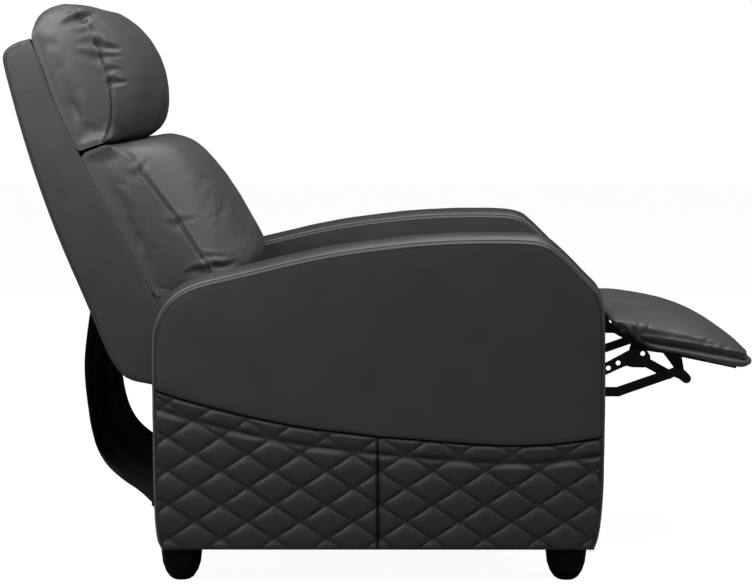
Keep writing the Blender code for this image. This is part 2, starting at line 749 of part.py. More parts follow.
# Base rails
def cross_rail(name, forward, material, group):
    span = 2 * (INNER_HALF - CLEARANCE)
    centre = place(forward, CROSS_RAIL_UP + CROSS_RAIL_HEIGHT / 2)
    item = box(name, centre, (span, CROSS_RAIL_DEPTH, CROSS_RAIL_HEIGHT), WOOD_EDGE)
    return finish(item, material, group)


def mechanism_rail(word, side, material, group):
    low = SWING_BASE_UP - MECHANISM_RAIL_HEIGHT / 2
    high = SWING_BASE_UP + MECHANISM_RAIL_HEIGHT / 2
    outline = [(MECHANISM_RAIL_REAR, low), (MECHANISM_RAIL_FRONT, low)]
    outline += [(MECHANISM_RAIL_FRONT, high), (MECHANISM_RAIL_REAR, high)]
    holes = [pin_hole((forward, SWING_BASE_UP)) for forward in (FRONT_SWING_FORWARD, REAR_SWING_FORWARD)]
    item = flat_piece("mechanism_rail_" + word, [outline] + holes, (0, 0),
                      side * (RAIL_FACE + MECHANISM_RAIL_THICKNESS / 2), MECHANISM_RAIL_THICKNESS)
    return finish(item, material, group)


# Carriage
def swing_top(forward):
    return (forward + SWING_FORWARD_STEP, SWING_BASE_UP + SWING_UP_STEP)


def swing_link(name, forward, side, material, group, cutters):
    """A flat link with its lower pivot stud, which turns in the mechanism rail."""
    base = (forward, SWING_BASE_UP)
    top = swing_top(forward)
    loops = [bar_outline([base, top], SWING_WIDTH), pin_hole(top)]
    item = as_mesh(flat_piece(name, loops, base, side * layer(0), PLATE))
    finish(item, material, group)
    rail = INNER_HALF - 2 * PLATE
    add_stud(item, base, side, stud_profile(layer(0), rail, False), cutters)
    return item


def seat_side_plate(word, side, material, group, cutters):
    """The carriage's side with its long nose, its curtain leg and five pivot studs."""
    outline = from_shares(SIDE_PLATE_SHARES, (0, 0), SIDE_PLATE_LENGTH, SIDE_PLATE_TOP)
    item = as_mesh(flat_piece("seat_side_plate_" + word, [outline], swing_top(FRONT_SWING_FORWARD),
                              side * layer(1), PLATE))
    finish(item, material, group)
    half = PLATE / 2
    for pivot in (swing_top(FRONT_SWING_FORWARD), swing_top(REAR_SWING_FORWARD), REAR_PIVOT):
        add_stud(item, pivot, side, stud_profile(layer(1), layer(0) + half, True), cutters)
    for pivot in (LONG_PIVOT, BACK_PIVOT):
        add_stud(item, pivot, side, stud_profile(layer(1), layer(2) - half, True), cutters)
    return item


def seat_rail_top():
    return SEAT_BOTTOM - 2 * SPRING_WIRE - 3 * CLEARANCE


def seat_rail(name, forward, material, group):
    span = 2 * (layer(1) + PLATE / 2)
    up = seat_rail_top() - SEAT_RAIL_HEIGHT / 2
    item = box(name, place(forward, up), (span, SEAT_RAIL_DEPTH, SEAT_RAIL_HEIGHT), WOOD_EDGE)
    return finish(item, material, group)


def seat_springs(material, group):
    """A one-piece zigzag spring mat laid from the rear seat rail to the front one."""
    data = bpy.data.curves.new("seat_springs", "CURVE")
    data.dimensions = "3D"
    data.bevel_depth = SPRING_WIRE
    data.bevel_resolution = 1
    data.use_fill_caps = True
    up = seat_rail_top() + SPRING_WIRE + CLEARANCE
    rear = SEAT_REAR_RAIL - SEAT_RAIL_DEPTH / 4
    front = SEAT_FRONT_RAIL + SEAT_RAIL_DEPTH / 4
    half_waves = 2 * SPRING_WAVES
    spots = []
    for row in range(SPRING_COUNT):
        across = SPRING_SPAN * (row / (SPRING_COUNT - 1) - 0.5)
        column = []
        for i in range(half_waves + 2):
            forward = rear + (front - rear) * i / (half_waves + 1)
            side = SPRING_SWING * (1 if (i // 2) % 2 else -1)
            column.append(place(forward, up, across + side))
        spots += column if row % 2 == 0 else list(reversed(column))
    line = data.splines.new("POLY")
    line.points.add(len(spots) - 1)
    for point, spot in zip(line.points, spots):
        point.co = (*spot, 1)
    item = bpy.data.objects.new("seat_springs", data)
    bpy.context.scene.collection.objects.link(item)
    return finish(as_mesh(item), material, group, smooth=True)


def seat_cushion(material, group):
    side_points = from_shares(SEAT_SIDE_SHARES, (0, SEAT_BOTTOM), SEAT_LENGTH, SEAT_HEIGHT)
    middle_points = from_shares(SEAT_MIDDLE_SHARES, (0, SEAT_BOTTOM), SEAT_LENGTH, SEAT_HEIGHT)
    item = cushion("seat_cushion", side_points, middle_points, SEAT_HALF_WIDTH,
                   (-SEAT_LENGTH / 2, SEAT_BOTTOM), 0)
    return finish(item, material, group, smooth=True)


def curtain_bar(material, group):
    length = 2 * (layer(1) - PLATE / 2 - CLEARANCE)
    item = tube_across("curtain_bar", (CURTAIN_BAR_FORWARD, CURTAIN_BAR_UP), CURTAIN_BAR_RADIUS, length)
    return finish(item, material, group, smooth=True)


# Back
def back_board(material, group):
    """A bent plywood shell behind the cushions, which follows the seam of the side covers."""
    seam = back_points(BACK_SEAM_SHARES)
    front = strip_edge(seam, BACK_BOARD_SETBACK)
    rear = strip_edge(seam, BACK_BOARD_SETBACK + BACK_BOARD_THICKNESS)
    width = 2 * (layer(2) - PLATE / 2 - BACK_BOARD_GAP)
    item = flat_piece("back_board", [front + list(reversed(rear))], BACK_PIVOT, 0, width)
    return finish(item, material, group)


def back_bracket(word, side, material, group):
    path = [BACK_PIVOT, BACK_BRACKET_KNEE, BACK_BRACKET_TOP]
    loops = [bar_outline(path, BACK_BRACKET_WIDTH), pin_hole(BACK_PIVOT)]
    item = flat_piece("back_bracket_" + word, loops, BACK_PIVOT, side * layer(2), PLATE)
    return finish(item, material, group)


def back_side_cover(word, side, material, group):
    outline = back_points(BACK_REAR_SHARES) + back_points(BACK_SEAM_SHARES)
    across = side * (BACK_HALF_WIDTH - BACK_SIDE_THICKNESS / 2)
    item = flat_piece("back_side_cover_" + word, [outline], BACK_PIVOT, across,
                      BACK_SIDE_THICKNESS, BACK_ROUNDING)
    return finish(item, material, group)


def back_rear_cover(material, group):
    rear = back_points(BACK_REAR_SHARES)
    closed = rear + back_points(BACK_SEAM_SHARES)
    inner = offset_outline(closed, -BACK_COVER)[:len(rear)]
    outline = rear + list(reversed(inner))
    width = 2 * (BACK_HALF_WIDTH - BACK_SIDE_THICKNESS - CLEARANCE)
    item = flat_piece("back_rear_cover", [outline], BACK_PIVOT, 0, width)
    return finish(item, material, group)


def lumbar_cushion(material, group):
    item = cushion("lumbar_cushion", back_points(LUMBAR_SIDE_SHARES), back_points(LUMBAR_MIDDLE_SHARES),
                   CUSHION_HALF_WIDTH, BACK_PIVOT, CAGE_REACH)
    return finish(item, material, group, smooth=True)


def headrest_pillow(material, group):
    item = cushion("headrest_pillow", back_points(PILLOW_SIDE_SHARES), back_points(PILLOW_MIDDLE_SHARES),
                   PILLOW_HALF_WIDTH, BACK_PIVOT, CAGE_REACH)
    return finish(item, material, group, smooth=True)


def rear_curtain(material, group):
    """Cloth hung from the back's lower edge to the curtain bar, with a sagging belly."""
    path = from_shares(CURTAIN_SHARES, CURTAIN_HEM, -CURTAIN_RUN, CURTAIN_RISE)
    across_shares = (-1.0, -0.75, -0.4, 0.0, 0.4, 0.75, 1.0)
    sections = []
    for share in across_shares:
        ring = []
        for face in (1, -1):
            line = []
            for i, (forward, up) in enumerate(path):
                a = Vector(path[max(i - 1, 0)])
                b = Vector(path[min(i + 1, len(path) - 1)])
                normal = Vector(((b - a).y, -(b - a).x)).normalized()
                belly = CURTAIN_BELLY * (1 - share * share) * math.sin(math.pi * i / (len(path) - 1))
                reach = belly + face * CURTAIN_THICKNESS / 2
                spot = (forward + normal.x * reach, up + normal.y * reach)
                line.append(place(*spot, share * CURTAIN_HALF_WIDTH))
            ring += line if face > 0 else list(reversed(line))
        sections.append(ring)
    item = loft("rear_curtain", sections, BACK_PIVOT)
    return finish(item, material, group, smooth=True)


# Footrest linkage
def linkage_bar(name, path, pivots, pivot, side, number, material, group):
    loops = [bar_outline(path, BAR_WIDTH)]
    loops += [pin_hole(p, KNUCKLE_CLEARANCE if p == KNUCKLE else PIVOT_CLEARANCE) for p in pivots]
    item = flat_piece(name, loops, pivot, side * layer(number), PLATE)
    return finish(item, material, group)


def lower_bar(word, side, material, group, cutters):
    """The bar under the long link, with the studs of both its knuckles."""
    outline = bar_outline([LOWER_KNUCKLE, KNUCKLE], BAR_WIDTH)
    item = as_mesh(flat_piece("lower_bar_" + word, [outline], LOWER_KNUCKLE, side * layer(1), PLATE))
    finish(item, material, group)
    half = PLATE / 2
    add_stud(item, LOWER_KNUCKLE, side, stud_profile(layer(1), layer(0) + half, True), cutters)
    add_stud(item, KNUCKLE, side, knuckle_profile(layer(3) - half, layer(0) + half), cutters)
    return item


def long_link(word, side, material, group, cutters):
    """The wide-ended upper link with its lightening holes and two studs."""
    outline = from_shares(LONG_LINK_SHARES, LONG_LINK_CORNER, LONG_LINK_LENGTH, LONG_LINK_HEIGHT)
    loops = [outline, pin_hole(LONG_PIVOT)]
    loops += [circle_points(hole, LIGHTENING_RADIUS, 2 * RIVET_SIDES) for hole in LIGHTENING_HOLES]
    item = as_mesh(flat_piece("long_link_" + word, loops, LONG_PIVOT, side * layer(2), PLATE))
    finish(item, material, group)
    half = PLATE / 2
    add_stud(item, COUPLER_TOP, side, stud_profile(layer(2), layer(3) - half, True), cutters)
    add_stud(item, PAD_PIVOT, side, stud_profile(layer(2), BRACKET_LAYER - half, True), cutters)
    return item


def footrest_bracket(word, side, material, group, cutters):
    """The plate under the footrest board, with its ear and the ear's stud."""
    outline = from_shares(BRACKET_SHARES, BRACKET_CORNER, BRACKET_LENGTH, BRACKET_HEIGHT)
    loops = [outline, pin_hole(PAD_PIVOT)]
    item = as_mesh(flat_piece("footrest_bracket_" + word, loops, PAD_PIVOT, side * BRACKET_LAYER, PLATE))
    finish(item, material, group)
    reach = layer(0) + PLATE / 2
    add_stud(item, EAR_PIVOT, side, stud_profile(BRACKET_LAYER, reach, True), cutters)
    return item


def board_outline(grow, overrun):
    """The footrest board in side view, or the recess that holds it in the pad."""
    along = (Vector(BOARD_FRONT) - Vector(BOARD_REAR)).normalized()
    up = Vector((-along.y, along.x))
    rear = Vector(BOARD_REAR) - along * grow
    front = Vector(BOARD_FRONT) + along * grow
    top = BOARD_THICKNESS + grow
    corners = [rear - up * overrun, front - up * overrun, front + up * top, rear + up * top]
    return [tuple(corner) for corner in corners]


def footrest_board(material, group):
    item = flat_piece("footrest_board", [board_outline(0, 0)], PAD_PIVOT, 0, 2 * BOARD_HALF_WIDTH)
    return finish(item, material, group)


def footrest_pad(material, group, cutters):
    side_points = from_shares(FOOT_PAD_SIDE_SHARES, (0, FOOT_PAD_UP), FOOT_PAD_LENGTH, FOOT_PAD_HEIGHT)
    middle_points = from_shares(FOOT_PAD_MIDDLE_SHARES, (0, FOOT_PAD_UP), FOOT_PAD_LENGTH, FOOT_PAD_HEIGHT)
    item = cushion("footrest_pad", side_points, middle_points, FOOT_PAD_HALF_WIDTH,
                   PAD_PIVOT, CAGE_REACH / 2)
    width = 2 * (BOARD_HALF_WIDTH + RECESS_GAP)
    recess = flat_piece("footrest_recess", [board_outline(RECESS_GAP, RECESS_OVERRUN)], PAD_PIVOT, 0, width)
    cutter = finish(as_mesh(recess), material, cutters)
    cutter.hide_render = True
    cutter.display_type = "WIRE"
    cut = item.modifiers.new("recess", "BOOLEAN")
    cut.operation = "DIFFERENCE"
    cut.object = cutter
    cut.solver = "EXACT"
    return finish(item, material, group, smooth=True)


def joint_axes():
    """Empties on the joint axes, which the moving pieces hang from."""
    spots = {
        "front_swing_axis": (FRONT_SWING_FORWARD, SWING_BASE_UP),
        "rear_swing_axis": (REAR_SWING_FORWARD, SWING_BASE_UP),
        "seat_axis": swing_top(FRONT_SWING_FORWARD),
        "back_axis": BACK_PIVOT,
        "long_link_axis": LONG_PIVOT,
        "rear_bar_axis": REAR_PIVOT,
        "lower_bar_axis": LOWER_KNUCKLE,
        "coupler_axis": COUPLER_TOP,
        "footrest_axis": PAD_PIVOT,
        "front_link_axis": EAR_PIVOT,
    }
    parents = {
        "seat_axis": "front_swing_axis", "back_axis": "seat_axis", "long_link_axis": "seat_axis",
        "rear_bar_axis": "seat_axis", "lower_bar_axis": "rear_bar_axis",
        "coupler_axis": "long_link_axis", "footrest_axis": "long_link_axis",
        "front_link_axis": "footrest_axis",
    }
    axes = {}
    for name, spot in spots.items():
        axis = bpy.data.objects.new(name, None)
        bpy.context.scene.collection.objects.link(axis)
        axis.location = place(*spot)
        axes[name] = axis
    bpy.context.view_layer.update()
    for name, parent in parents.items():
        hang(axes[name], axes[parent])
    return axes


def hang(item, axis):
    bpy.context.view_layer.update()
    world = item.matrix_world.copy()
    item.parent = axis
    item.matrix_parent_inverse = axis.matrix_world.inverted()
    item.matrix_world = world


def build():
    clear_scene()
    group = make_collection("push_back_recliner")
    cutters = make_collection("cutters")
    axes = joint_axes()
    hide = leather()
    quilt = quilt_leather()
    edge = edge_leather()
    steel = black_steel()
    bright = plain_steel()
    ply = plywood()
    wood = hardwood()
    plastic = black_plastic()
    cloth = black_cloth()
    upper, rear, front = split_outline()

    for word, side in SIDES:
        arm_core(word, side, ply, group)
        arm_side_panel(word, side, upper, hide, group)
        arm_quilt("arm_quilt_rear_" + word, side, rear, quilt, group, cutters)
        arm_quilt("arm_quilt_front_" + word, side, front, quilt, group, cutters)
        arm_boxing(word, side, edge, group)
        arm_inner_panel(word, side, hide, group)
        foot("foot_front_" + word, -FRONT_FOOT_INSET - BOXING_CROWN, side, plastic, group)
        foot("foot_rear_" + word, REAR_FOOT_INSET - ARM_DEPTH, side, plastic, group)
        mechanism_rail(word, side, wood, group)
    cross_rail("front_rail", FRONT_RAIL_FORWARD, wood, group)
    cross_rail("rear_rail", REAR_RAIL_FORWARD, wood, group)

    for word, side in SIDES:
        hang(swing_link("front_swing_link_" + word, FRONT_SWING_FORWARD, side, steel, group,
                        cutters),
             axes["front_swing_axis"])
        hang(swing_link("rear_swing_link_" + word, REAR_SWING_FORWARD, side, steel, group,
                        cutters),
             axes["rear_swing_axis"])
        hang(seat_side_plate(word, side, steel, group, cutters), axes["seat_axis"])
        hang(back_bracket(word, side, steel, group), axes["back_axis"])
        hang(back_side_cover(word, side, hide, group), axes["back_axis"])
        hang(long_link(word, side, steel, group, cutters), axes["long_link_axis"])
        hang(linkage_bar("rear_bar_" + word, [REAR_PIVOT] + REAR_BAR_BENDS + [LOWER_KNUCKLE],
                         (REAR_PIVOT, LOWER_KNUCKLE), REAR_PIVOT, side, 0, steel, group),
             axes["rear_bar_axis"])
        hang(lower_bar(word, side, steel, group, cutters), axes["lower_bar_axis"])
        hang(linkage_bar("coupler_" + word, [COUPLER_TOP, KNUCKLE], (COUPLER_TOP, KNUCKLE),
                         COUPLER_TOP, side, 3, steel, group), axes["coupler_axis"])
        hang(linkage_bar("front_link_" + word, [KNUCKLE] + FRONT_LINK_BENDS + [EAR_PIVOT],
                         (KNUCKLE, EAR_PIVOT), EAR_PIVOT, side, 0, steel, group),
             axes["front_link_axis"])
        hang(footrest_bracket(word, side, steel, group, cutters), axes["footrest_axis"])

    for item in (seat_rail("seat_front_rail", SEAT_FRONT_RAIL, steel, group),
                 seat_rail("seat_rear_rail", SEAT_REAR_RAIL, steel, group),
                 seat_springs(bright, group), seat_cushion(hide, group), curtain_bar(steel, group)):
        hang(item, axes["seat_axis"])
    for item in (back_board(ply, group), back_rear_cover(hide, group),
                 lumbar_cushion(hide, group), headrest_pillow(hide, group), rear_curtain(cloth, group)):
        hang(item, axes["back_axis"])
    for item in (footrest_board(ply, group), footrest_pad(hide, group, cutters)):
        hang(item, axes["footrest_axis"])


build()
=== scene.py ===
import json
import math
from itertools import groupby

import bmesh
import bpy
import numpy as np
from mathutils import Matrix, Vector, noise
from mathutils.bvhtree import BVHTree
from mathutils.geometry import delaunay_2d_cdt


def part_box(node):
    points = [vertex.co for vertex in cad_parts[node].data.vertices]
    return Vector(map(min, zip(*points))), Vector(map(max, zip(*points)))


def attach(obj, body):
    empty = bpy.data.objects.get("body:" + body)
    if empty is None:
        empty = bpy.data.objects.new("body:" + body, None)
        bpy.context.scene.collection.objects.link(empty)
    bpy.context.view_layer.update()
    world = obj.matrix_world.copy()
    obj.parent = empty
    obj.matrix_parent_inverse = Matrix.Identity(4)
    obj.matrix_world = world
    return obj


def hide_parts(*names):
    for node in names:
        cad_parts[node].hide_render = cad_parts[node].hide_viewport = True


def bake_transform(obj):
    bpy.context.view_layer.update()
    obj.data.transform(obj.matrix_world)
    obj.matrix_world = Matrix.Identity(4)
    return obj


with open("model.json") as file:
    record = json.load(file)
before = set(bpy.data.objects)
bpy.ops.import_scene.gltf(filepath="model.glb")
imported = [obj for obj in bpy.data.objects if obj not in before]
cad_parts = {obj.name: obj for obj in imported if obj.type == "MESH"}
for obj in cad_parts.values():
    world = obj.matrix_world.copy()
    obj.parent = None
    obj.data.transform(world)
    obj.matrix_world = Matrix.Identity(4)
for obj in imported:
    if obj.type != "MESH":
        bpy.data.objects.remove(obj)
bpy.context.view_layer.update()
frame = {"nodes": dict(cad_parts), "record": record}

bl_info = {
    "name": "Push-back recliner dresser",
    "version": (1, 0, 0),
    "blender": (4, 5, 0),
    "location": "View3D > Sidebar > Recliner",
    "description": "Upholstery, stitching, finishes and studio for a single-seat push-back recliner",
    "category": "Object",
}

FRONT_Y = -0.3679
SIDES = (("left", 1), ("right", -1))
BACK_PIVOT = (-0.690, 0.360)
# Spacing of the points along the arm's, the back's and the folds' lines
ARM_STEP = 0.007
BACK_STEP = 0.006
FOLD_STEP = 0.004
# Arms: how far the side panels stop short of their boards' faces, their crowns and rolled rims
HIDE_LIFT = 0.0015
PANEL_CROWN = 0.0012
OUTER_ROLL = 0.006
INNER_ROLL = 0.007
BOXING_DEPTH = 0.0112
BOXING_GAP = 0.0004
# Rows of stitches: from the arm's edge, above its curved seam, beside the upright seam, from a panel's
# rim, and how far the thread lies on or under a face
EDGE_ROW = 0.0046
CURVED_ROW = 0.006
SEAM_ROW = 0.0032
ROW_MARGIN = 0.004
THREAD_LIFT = 0.0002
EDGE_SINK = 0.0014
STITCH_SHARE = 0.74
RIM_DEPTH = 0.0012
# How the hide behaves while it settles over its stuffing
HIDE_NATURE = {
    "quality": 5, "mass": 0.3, "tension_stiffness": 22, "compression_stiffness": 14,
    "shear_stiffness": 8, "bending_stiffness": 1.2,
}
CLOTH_FRAMES = 20
# Sewn seams in the cushions: their width and depth, and the stitches' distance from them
SEAM_WIDTH = 0.0035
SEAM_DEPTH = 0.0028
SEAM_APART = 0.0034
# Sideways places: the cushions' side folds and seams, the seat's channels and the shell's panels
CUSHION_SIDE = 0.2265
CHANNEL_SIDE = 0.154
SHELL_SIDE = 0.2266
# Shell: its side panels and stitched edge, its rear panel's seams with their rows and grooves, its crown
# and edge, and a gusset's thickness, rolled rim and crown
SHELL_PANEL = 0.0172
SHELL_ROLL = 0.005
SHELL_ROW = 0.0062
REAR_SEAMS = (-0.13, 0.13)
REAR_ROW = 0.004
REAR_CROWN = 0.0022
REAR_GROOVE = 0.003
REAR_GROOVE_DEPTH = 0.0016
REAR_DEPTH = 0.0115
REAR_SINK = 0.0012
GUSSET = (0.0070, 0.002, 0.0010)
# The curtain's hem, its reach up from there, its half width and half its thickness
CURTAIN_HEM = (-0.7765, 0.112)
CURTAIN_REACH = (-0.118, 0.3415)
CURTAIN_HALF = 0.2175
CURTAIN_SKIN = 0.0008
# How the back cushions' rims are filled out to their neighbours
TUCK_REACH = 0.034
TUCK_START = 0.17
TUCK_FLANK = 0.2157
TUCK_OUT = 0.2375
TUCK_PULL = 0.0085
TUCK_RANGE = 0.030
# The footrest pad's sides, the height and half width of its front crease, the hollow over the crease,
# the crease itself and the row of stitches above it
PAD_SIDE = 0.2375
PAD_NOSE_UP = 0.3705
PAD_NOSE_SPAN = 0.222
HOLLOW = 0.011
HOLLOW_DEPTH = 0.0045
CREASE = 0.0050
CREASE_DEPTH = 0.0100
LIP_ROW = 0.0065
# The photo's camera: forward, upward and sideways place, degrees downward and turned, lens and width
CAMERA_SPOT = (-0.3766, 0.8525, -3.48)
CAMERA_DOWN = 6.445
CAMERA_TURN = 0.12
FOCAL_PIXELS = 1890.0
PHOTO_PIXELS = 752.0
SENSOR_MM = 36.0
# The floor's grey and the glow that the camera alone sees, and the air's light on the chair
FLOOR_GREY = 0.32
FLOOR_LIFT = 0.95
AIR_GLOW = 0.064

# Side views: forward and upward shares of each outline's own length and height
ARM_SHARES = [
    (0.017, 0.000), (0.004, 0.036), (0.000, 0.175), (0.000, 0.459), (0.000, 0.694),
    (0.009, 0.742), (0.030, 0.797), (0.062, 0.837), (0.107, 0.863), (0.194, 0.890),
    (0.301, 0.928), (0.408, 0.960), (0.568, 0.989), (0.674, 0.998), (0.781, 1.000),
    (0.865, 0.994), (0.898, 0.958), (0.930, 0.913), (0.955, 0.875), (0.982, 0.837),
    (0.992, 0.797), (0.997, 0.744), (1.000, 0.505), (0.999, 0.201), (0.995, 0.102),
    (0.989, 0.038), (0.979, 0.000),
]
QUILT_LINE_SHARES = [
    (0.000, 0.522), (0.075, 0.486), (0.214, 0.435), (0.325, 0.402), (0.436, 0.383),
    (0.498, 0.372), (0.614, 0.359), (0.748, 0.343), (0.880, 0.343), (1.000, 0.370),
]
BACK_REAR_SHARES = [
    (0.856, 1.001), (0.923, 0.991), (0.975, 0.973), (0.997, 0.953), (0.997, 0.929), (0.970, 0.861),
    (0.912, 0.725), (0.836, 0.573), (0.727, 0.389), (0.570, 0.170), (0.491, 0.048), (0.439, -0.009),
    (0.376, -0.048), (0.245, -0.062),
]
BACK_SEAM_SHARES = [
    (0.136, 0.071), (0.212, 0.173), (0.403, 0.391), (0.561, 0.570), (0.624, 0.650),
    (0.676, 0.716), (0.752, 0.812), (0.806, 0.914),
]
PILLOW_SEAM_SHARES = [
    (0.817, 1.079), (0.765, 1.099), (0.702, 1.105), (0.661, 1.103), (0.630, 1.094), (0.595, 1.064),
    (0.539, 1.031), (0.507, 0.982), (0.480, 0.934), (0.453, 0.886), (0.441, 0.837), (0.437, 0.779),
    (0.452, 0.724), (0.481, 0.687),
]
LUMBAR_SEAM_SHARES = [
    (0.440, 0.678), (0.404, 0.674), (0.368, 0.660), (0.342, 0.645), (0.296, 0.602), (0.240, 0.553),
    (0.168, 0.497), (0.106, 0.448), (0.045, 0.386), (-0.017, 0.330), (-0.069, 0.284), (-0.110, 0.243),
]
# Where the back cushions meet the shell's side panels and each other
PILLOW_MEETING_SHARES = [
    (0.848, 1.000), (0.794, 0.899), (0.714, 0.770), (0.634, 0.655), (0.539, 0.675), (0.482, 0.686),
]
LUMBAR_MEETING_SHARES = [
    (0.482, 0.682), (0.539, 0.669), (0.627, 0.650), (0.517, 0.525), (0.372, 0.360), (0.222, 0.189),
]
GUSSET_SHARES = [(0.270, 0.245), (0.136, 0.071), (0.070, 0.080), (0.090, 0.225)]
# The lumbar cushion's fullest line, half its length, and how wide and far the cushion swells there
BELLY_SHARES = (-0.300, 0.322)
BELLY_SPAN = 0.19
BELLY_WIDTH = 0.022
BELLY_SWELL = 0.005
# Folds drawn out of the seams: width, depth and side-view shares from the seam outward
PILLOW_FOLDS = [
    (0.0075, 0.0080, [(0.588, 1.062), (0.553, 1.072), (0.507, 1.078)]),
    (0.0080, 0.0070, [(0.600, 1.058), (0.647, 1.055), (0.700, 1.040)]),
    (0.0070, 0.0060, [(0.504, 0.982), (0.463, 0.972), (0.385, 0.973)]),
    (0.0050, 0.0028, [(0.487, 0.950), (0.438, 0.947), (0.365, 0.950)]),
    (0.0050, 0.0026, [(0.462, 0.908), (0.418, 0.910), (0.377, 0.905)]),
    (0.0055, 0.0055, [(0.448, 0.873), (0.410, 0.868), (0.350, 0.873)]),
    (0.0085, 0.0030, [(0.510, 0.985), (0.560, 0.990), (0.630, 0.985)]),
    (0.0095, 0.0042, [(0.492, 0.940), (0.550, 0.946), (0.640, 0.962)]),
    (0.0085, 0.0018, [(0.475, 0.705), (0.549, 0.725), (0.640, 0.750)]),
]
LUMBAR_FOLDS = [
    (0.0065, 0.0016, [(0.301, 0.599), (0.269, 0.623), (0.233, 0.642)]),
    (0.0095, 0.0022, [(0.307, 0.583), (0.349, 0.586), (0.400, 0.602)]),
    (0.0070, 0.0016, [(0.112, 0.445), (0.059, 0.445), (-0.009, 0.460)]),
    (0.0085, 0.0022, [(0.096, 0.429), (0.138, 0.432), (0.184, 0.448)]),
    (0.0070, 0.0055, [(-0.064, 0.305), (-0.122, 0.299), (-0.211, 0.321)]),
    (0.0055, 0.0022, [(-0.033, 0.333), (-0.091, 0.333), (-0.154, 0.340)]),
    (0.0080, 0.0050, [(-0.037, 0.284), (0.015, 0.293), (0.088, 0.272)]),
]
# Footrest pad: the crease over its lip and its folds, as forward and upward lengths
PAD_CREASE = [
    (0.061, 0.404), (0.091, 0.400), (0.129, 0.395), (0.178, 0.386), (0.221, 0.378),
    (0.247, 0.374), (0.260, 0.372),
]
PAD_FOLDS = [
    (0.0050, 0.0050, [(0.063, 0.407), (0.063, 0.421), (0.056, 0.435)]),
    (0.0045, 0.0040, [(0.070, 0.409), (0.073, 0.424), (0.070, 0.439)]),
    (0.0050, 0.0035, [(0.077, 0.411), (0.087, 0.423), (0.090, 0.435)]),
    (0.0055, 0.0045, [(0.053, 0.414), (0.042, 0.424), (0.032, 0.439)]),
    (0.0055, 0.0035, [(0.035, 0.426), (0.026, 0.435), (0.014, 0.442)]),
    (0.0055, 0.0014, [(0.181, 0.393), (0.188, 0.402), (0.198, 0.409)]),
    (0.0055, 0.0014, [(0.216, 0.384), (0.223, 0.393), (0.234, 0.402)]),
]
CURTAIN_SHARES = [
    (0.873, 1.000), (0.968, 0.820), (0.996, 0.691), (0.979, 0.536), (0.896, 0.328),
    (0.713, 0.199), (0.454, 0.120), (0.179, 0.061), (0.000, 0.000),
]


def colour_property(name, text, value):
    return bpy.props.StringProperty(name=name, description=text, default=value)


def length_property(name, text, value):
    return bpy.props.FloatProperty(name=name, description=text, default=value, unit="LENGTH", precision=4)


class ReclinerArmSettings(bpy.types.PropertyGroup):
    depth: length_property("Depth", "Length of an arm from rear to front", 0.757)
    rise: length_property("Rise", "Height of an arm above its feet", 0.527)
    foot: length_property("Foot", "Height of the feet", 0.058)
    outside: length_property("Outside", "Distance of an arm's outer face from the middle", 0.350)
    panel: length_property("Panel", "Thickness of the outer panels", 0.012)
    inside: length_property("Inside", "Distance of an arm's inner face from the middle", 0.255)
    inner_panel: length_property("Inner panel", "Thickness of the inner panels", 0.015)
    crown: length_property("Crown", "Height of the boxing's crown over the arm's top", 0.0115)
    welt: length_property("Welt", "Radius of the welt along the arm's seam", 0.0018)


class ReclinerQuiltSettings(bpy.types.PropertyGroup):
    width: length_property("Width", "Width of one diamond", 0.0895)
    height: length_property("Height", "Height of one diamond", 0.058)
    start_forward: length_property("Start forward", "A crossing of the quilting, forward", -0.690)
    start_up: length_property("Start up", "A crossing of the quilting, upward", 0.224)
    valley: length_property("Valley", "Thickness under a quilting seam", 0.0062)
    puff: length_property("Puff", "Rise of a diamond over its seams", 0.0085)
    band: length_property("Band", "Depth of the band under the curved seam", 0.029)
    seam: length_property("Seam", "Forward place of the upright seam", -0.380)


class ReclinerClothSettings(bpy.types.PropertyGroup):
    voxel: length_property("Voxel", "Grid of the cushions' fabric", 0.0055)
    shrink: length_property("Shrink", "How far a cushion starts inside its form", 0.005)
    cap: length_property("Cap", "How far a cushion's fabric may swell", 0.009)
    pressure: bpy.props.FloatProperty(name="Pressure", description="Stuffing pressure", default=4.0)
    lap: length_property("Lap", "How far the back's side panels lap over the cushions", 0.004)
    stitch: length_property("Stitch", "Distance from one stitch to the next", 0.0046)
    thread: length_property("Thread", "Radius of the sewing thread", 0.00055)


class ReclinerColours(bpy.types.PropertyGroup):
    hide: colour_property("Leatherette", "Arms and back shell", "#434447")
    soft: colour_property("Soft leatherette", "Cushions", "#505254")
    quilt: colour_property("Quilting", "Lower arm panels", "#343437")
    edge: colour_property("Edges", "Boxing along the arms", "#3e3f41")
    # The welt's grey is lighter than the hide's: a painted highlight along the arms' edges, on top of the
    # piping's own lower roughness
    welt: colour_property("Welt", "Piping along the arms' edges", "#747679")
    thread: colour_property("Thread", "Sewing thread", "#141517")
    steel: colour_property("Enamel", "Linkage plates", "#0c0c0d")
    plastic: colour_property("Plastic", "Feet", "#080808")
    cloth: colour_property("Cloth", "Rear curtain", "#09090a")


def settings():
    return bpy.context.scene


def place(forward, up, across=0.0):
    """World point of a side-view point."""
    return Vector((across, FRONT_Y - forward, up))


def from_shares(shares, corner, length, height):
    return [(corner[0] + f * length, corner[1] + u * height) for f, u in shares]


def back_points(shares):
    return from_shares(shares, BACK_PIVOT, -0.330, 0.560)


def arm_points():
    arm = settings().recliner_arm
    return from_shares(ARM_SHARES, (-arm.depth, arm.foot), arm.depth, arm.rise)


def quilt_line():
    arm = settings().recliner_arm
    return from_shares(QUILT_LINE_SHARES, (-arm.depth, arm.foot), arm.depth, arm.rise)


def rounded(points, rounds=2):
    """An open line with its corners cut twice, so that it reads as one curve."""
    line = [Vector(p) for p in points]
    for _ in range(rounds):
        cut = [line[0]]
        for a, b in zip(line, line[1:]):
            cut += [a.lerp(b, 0.25), a.lerp(b, 0.75)]
        line = cut + [line[-1]]
    return line


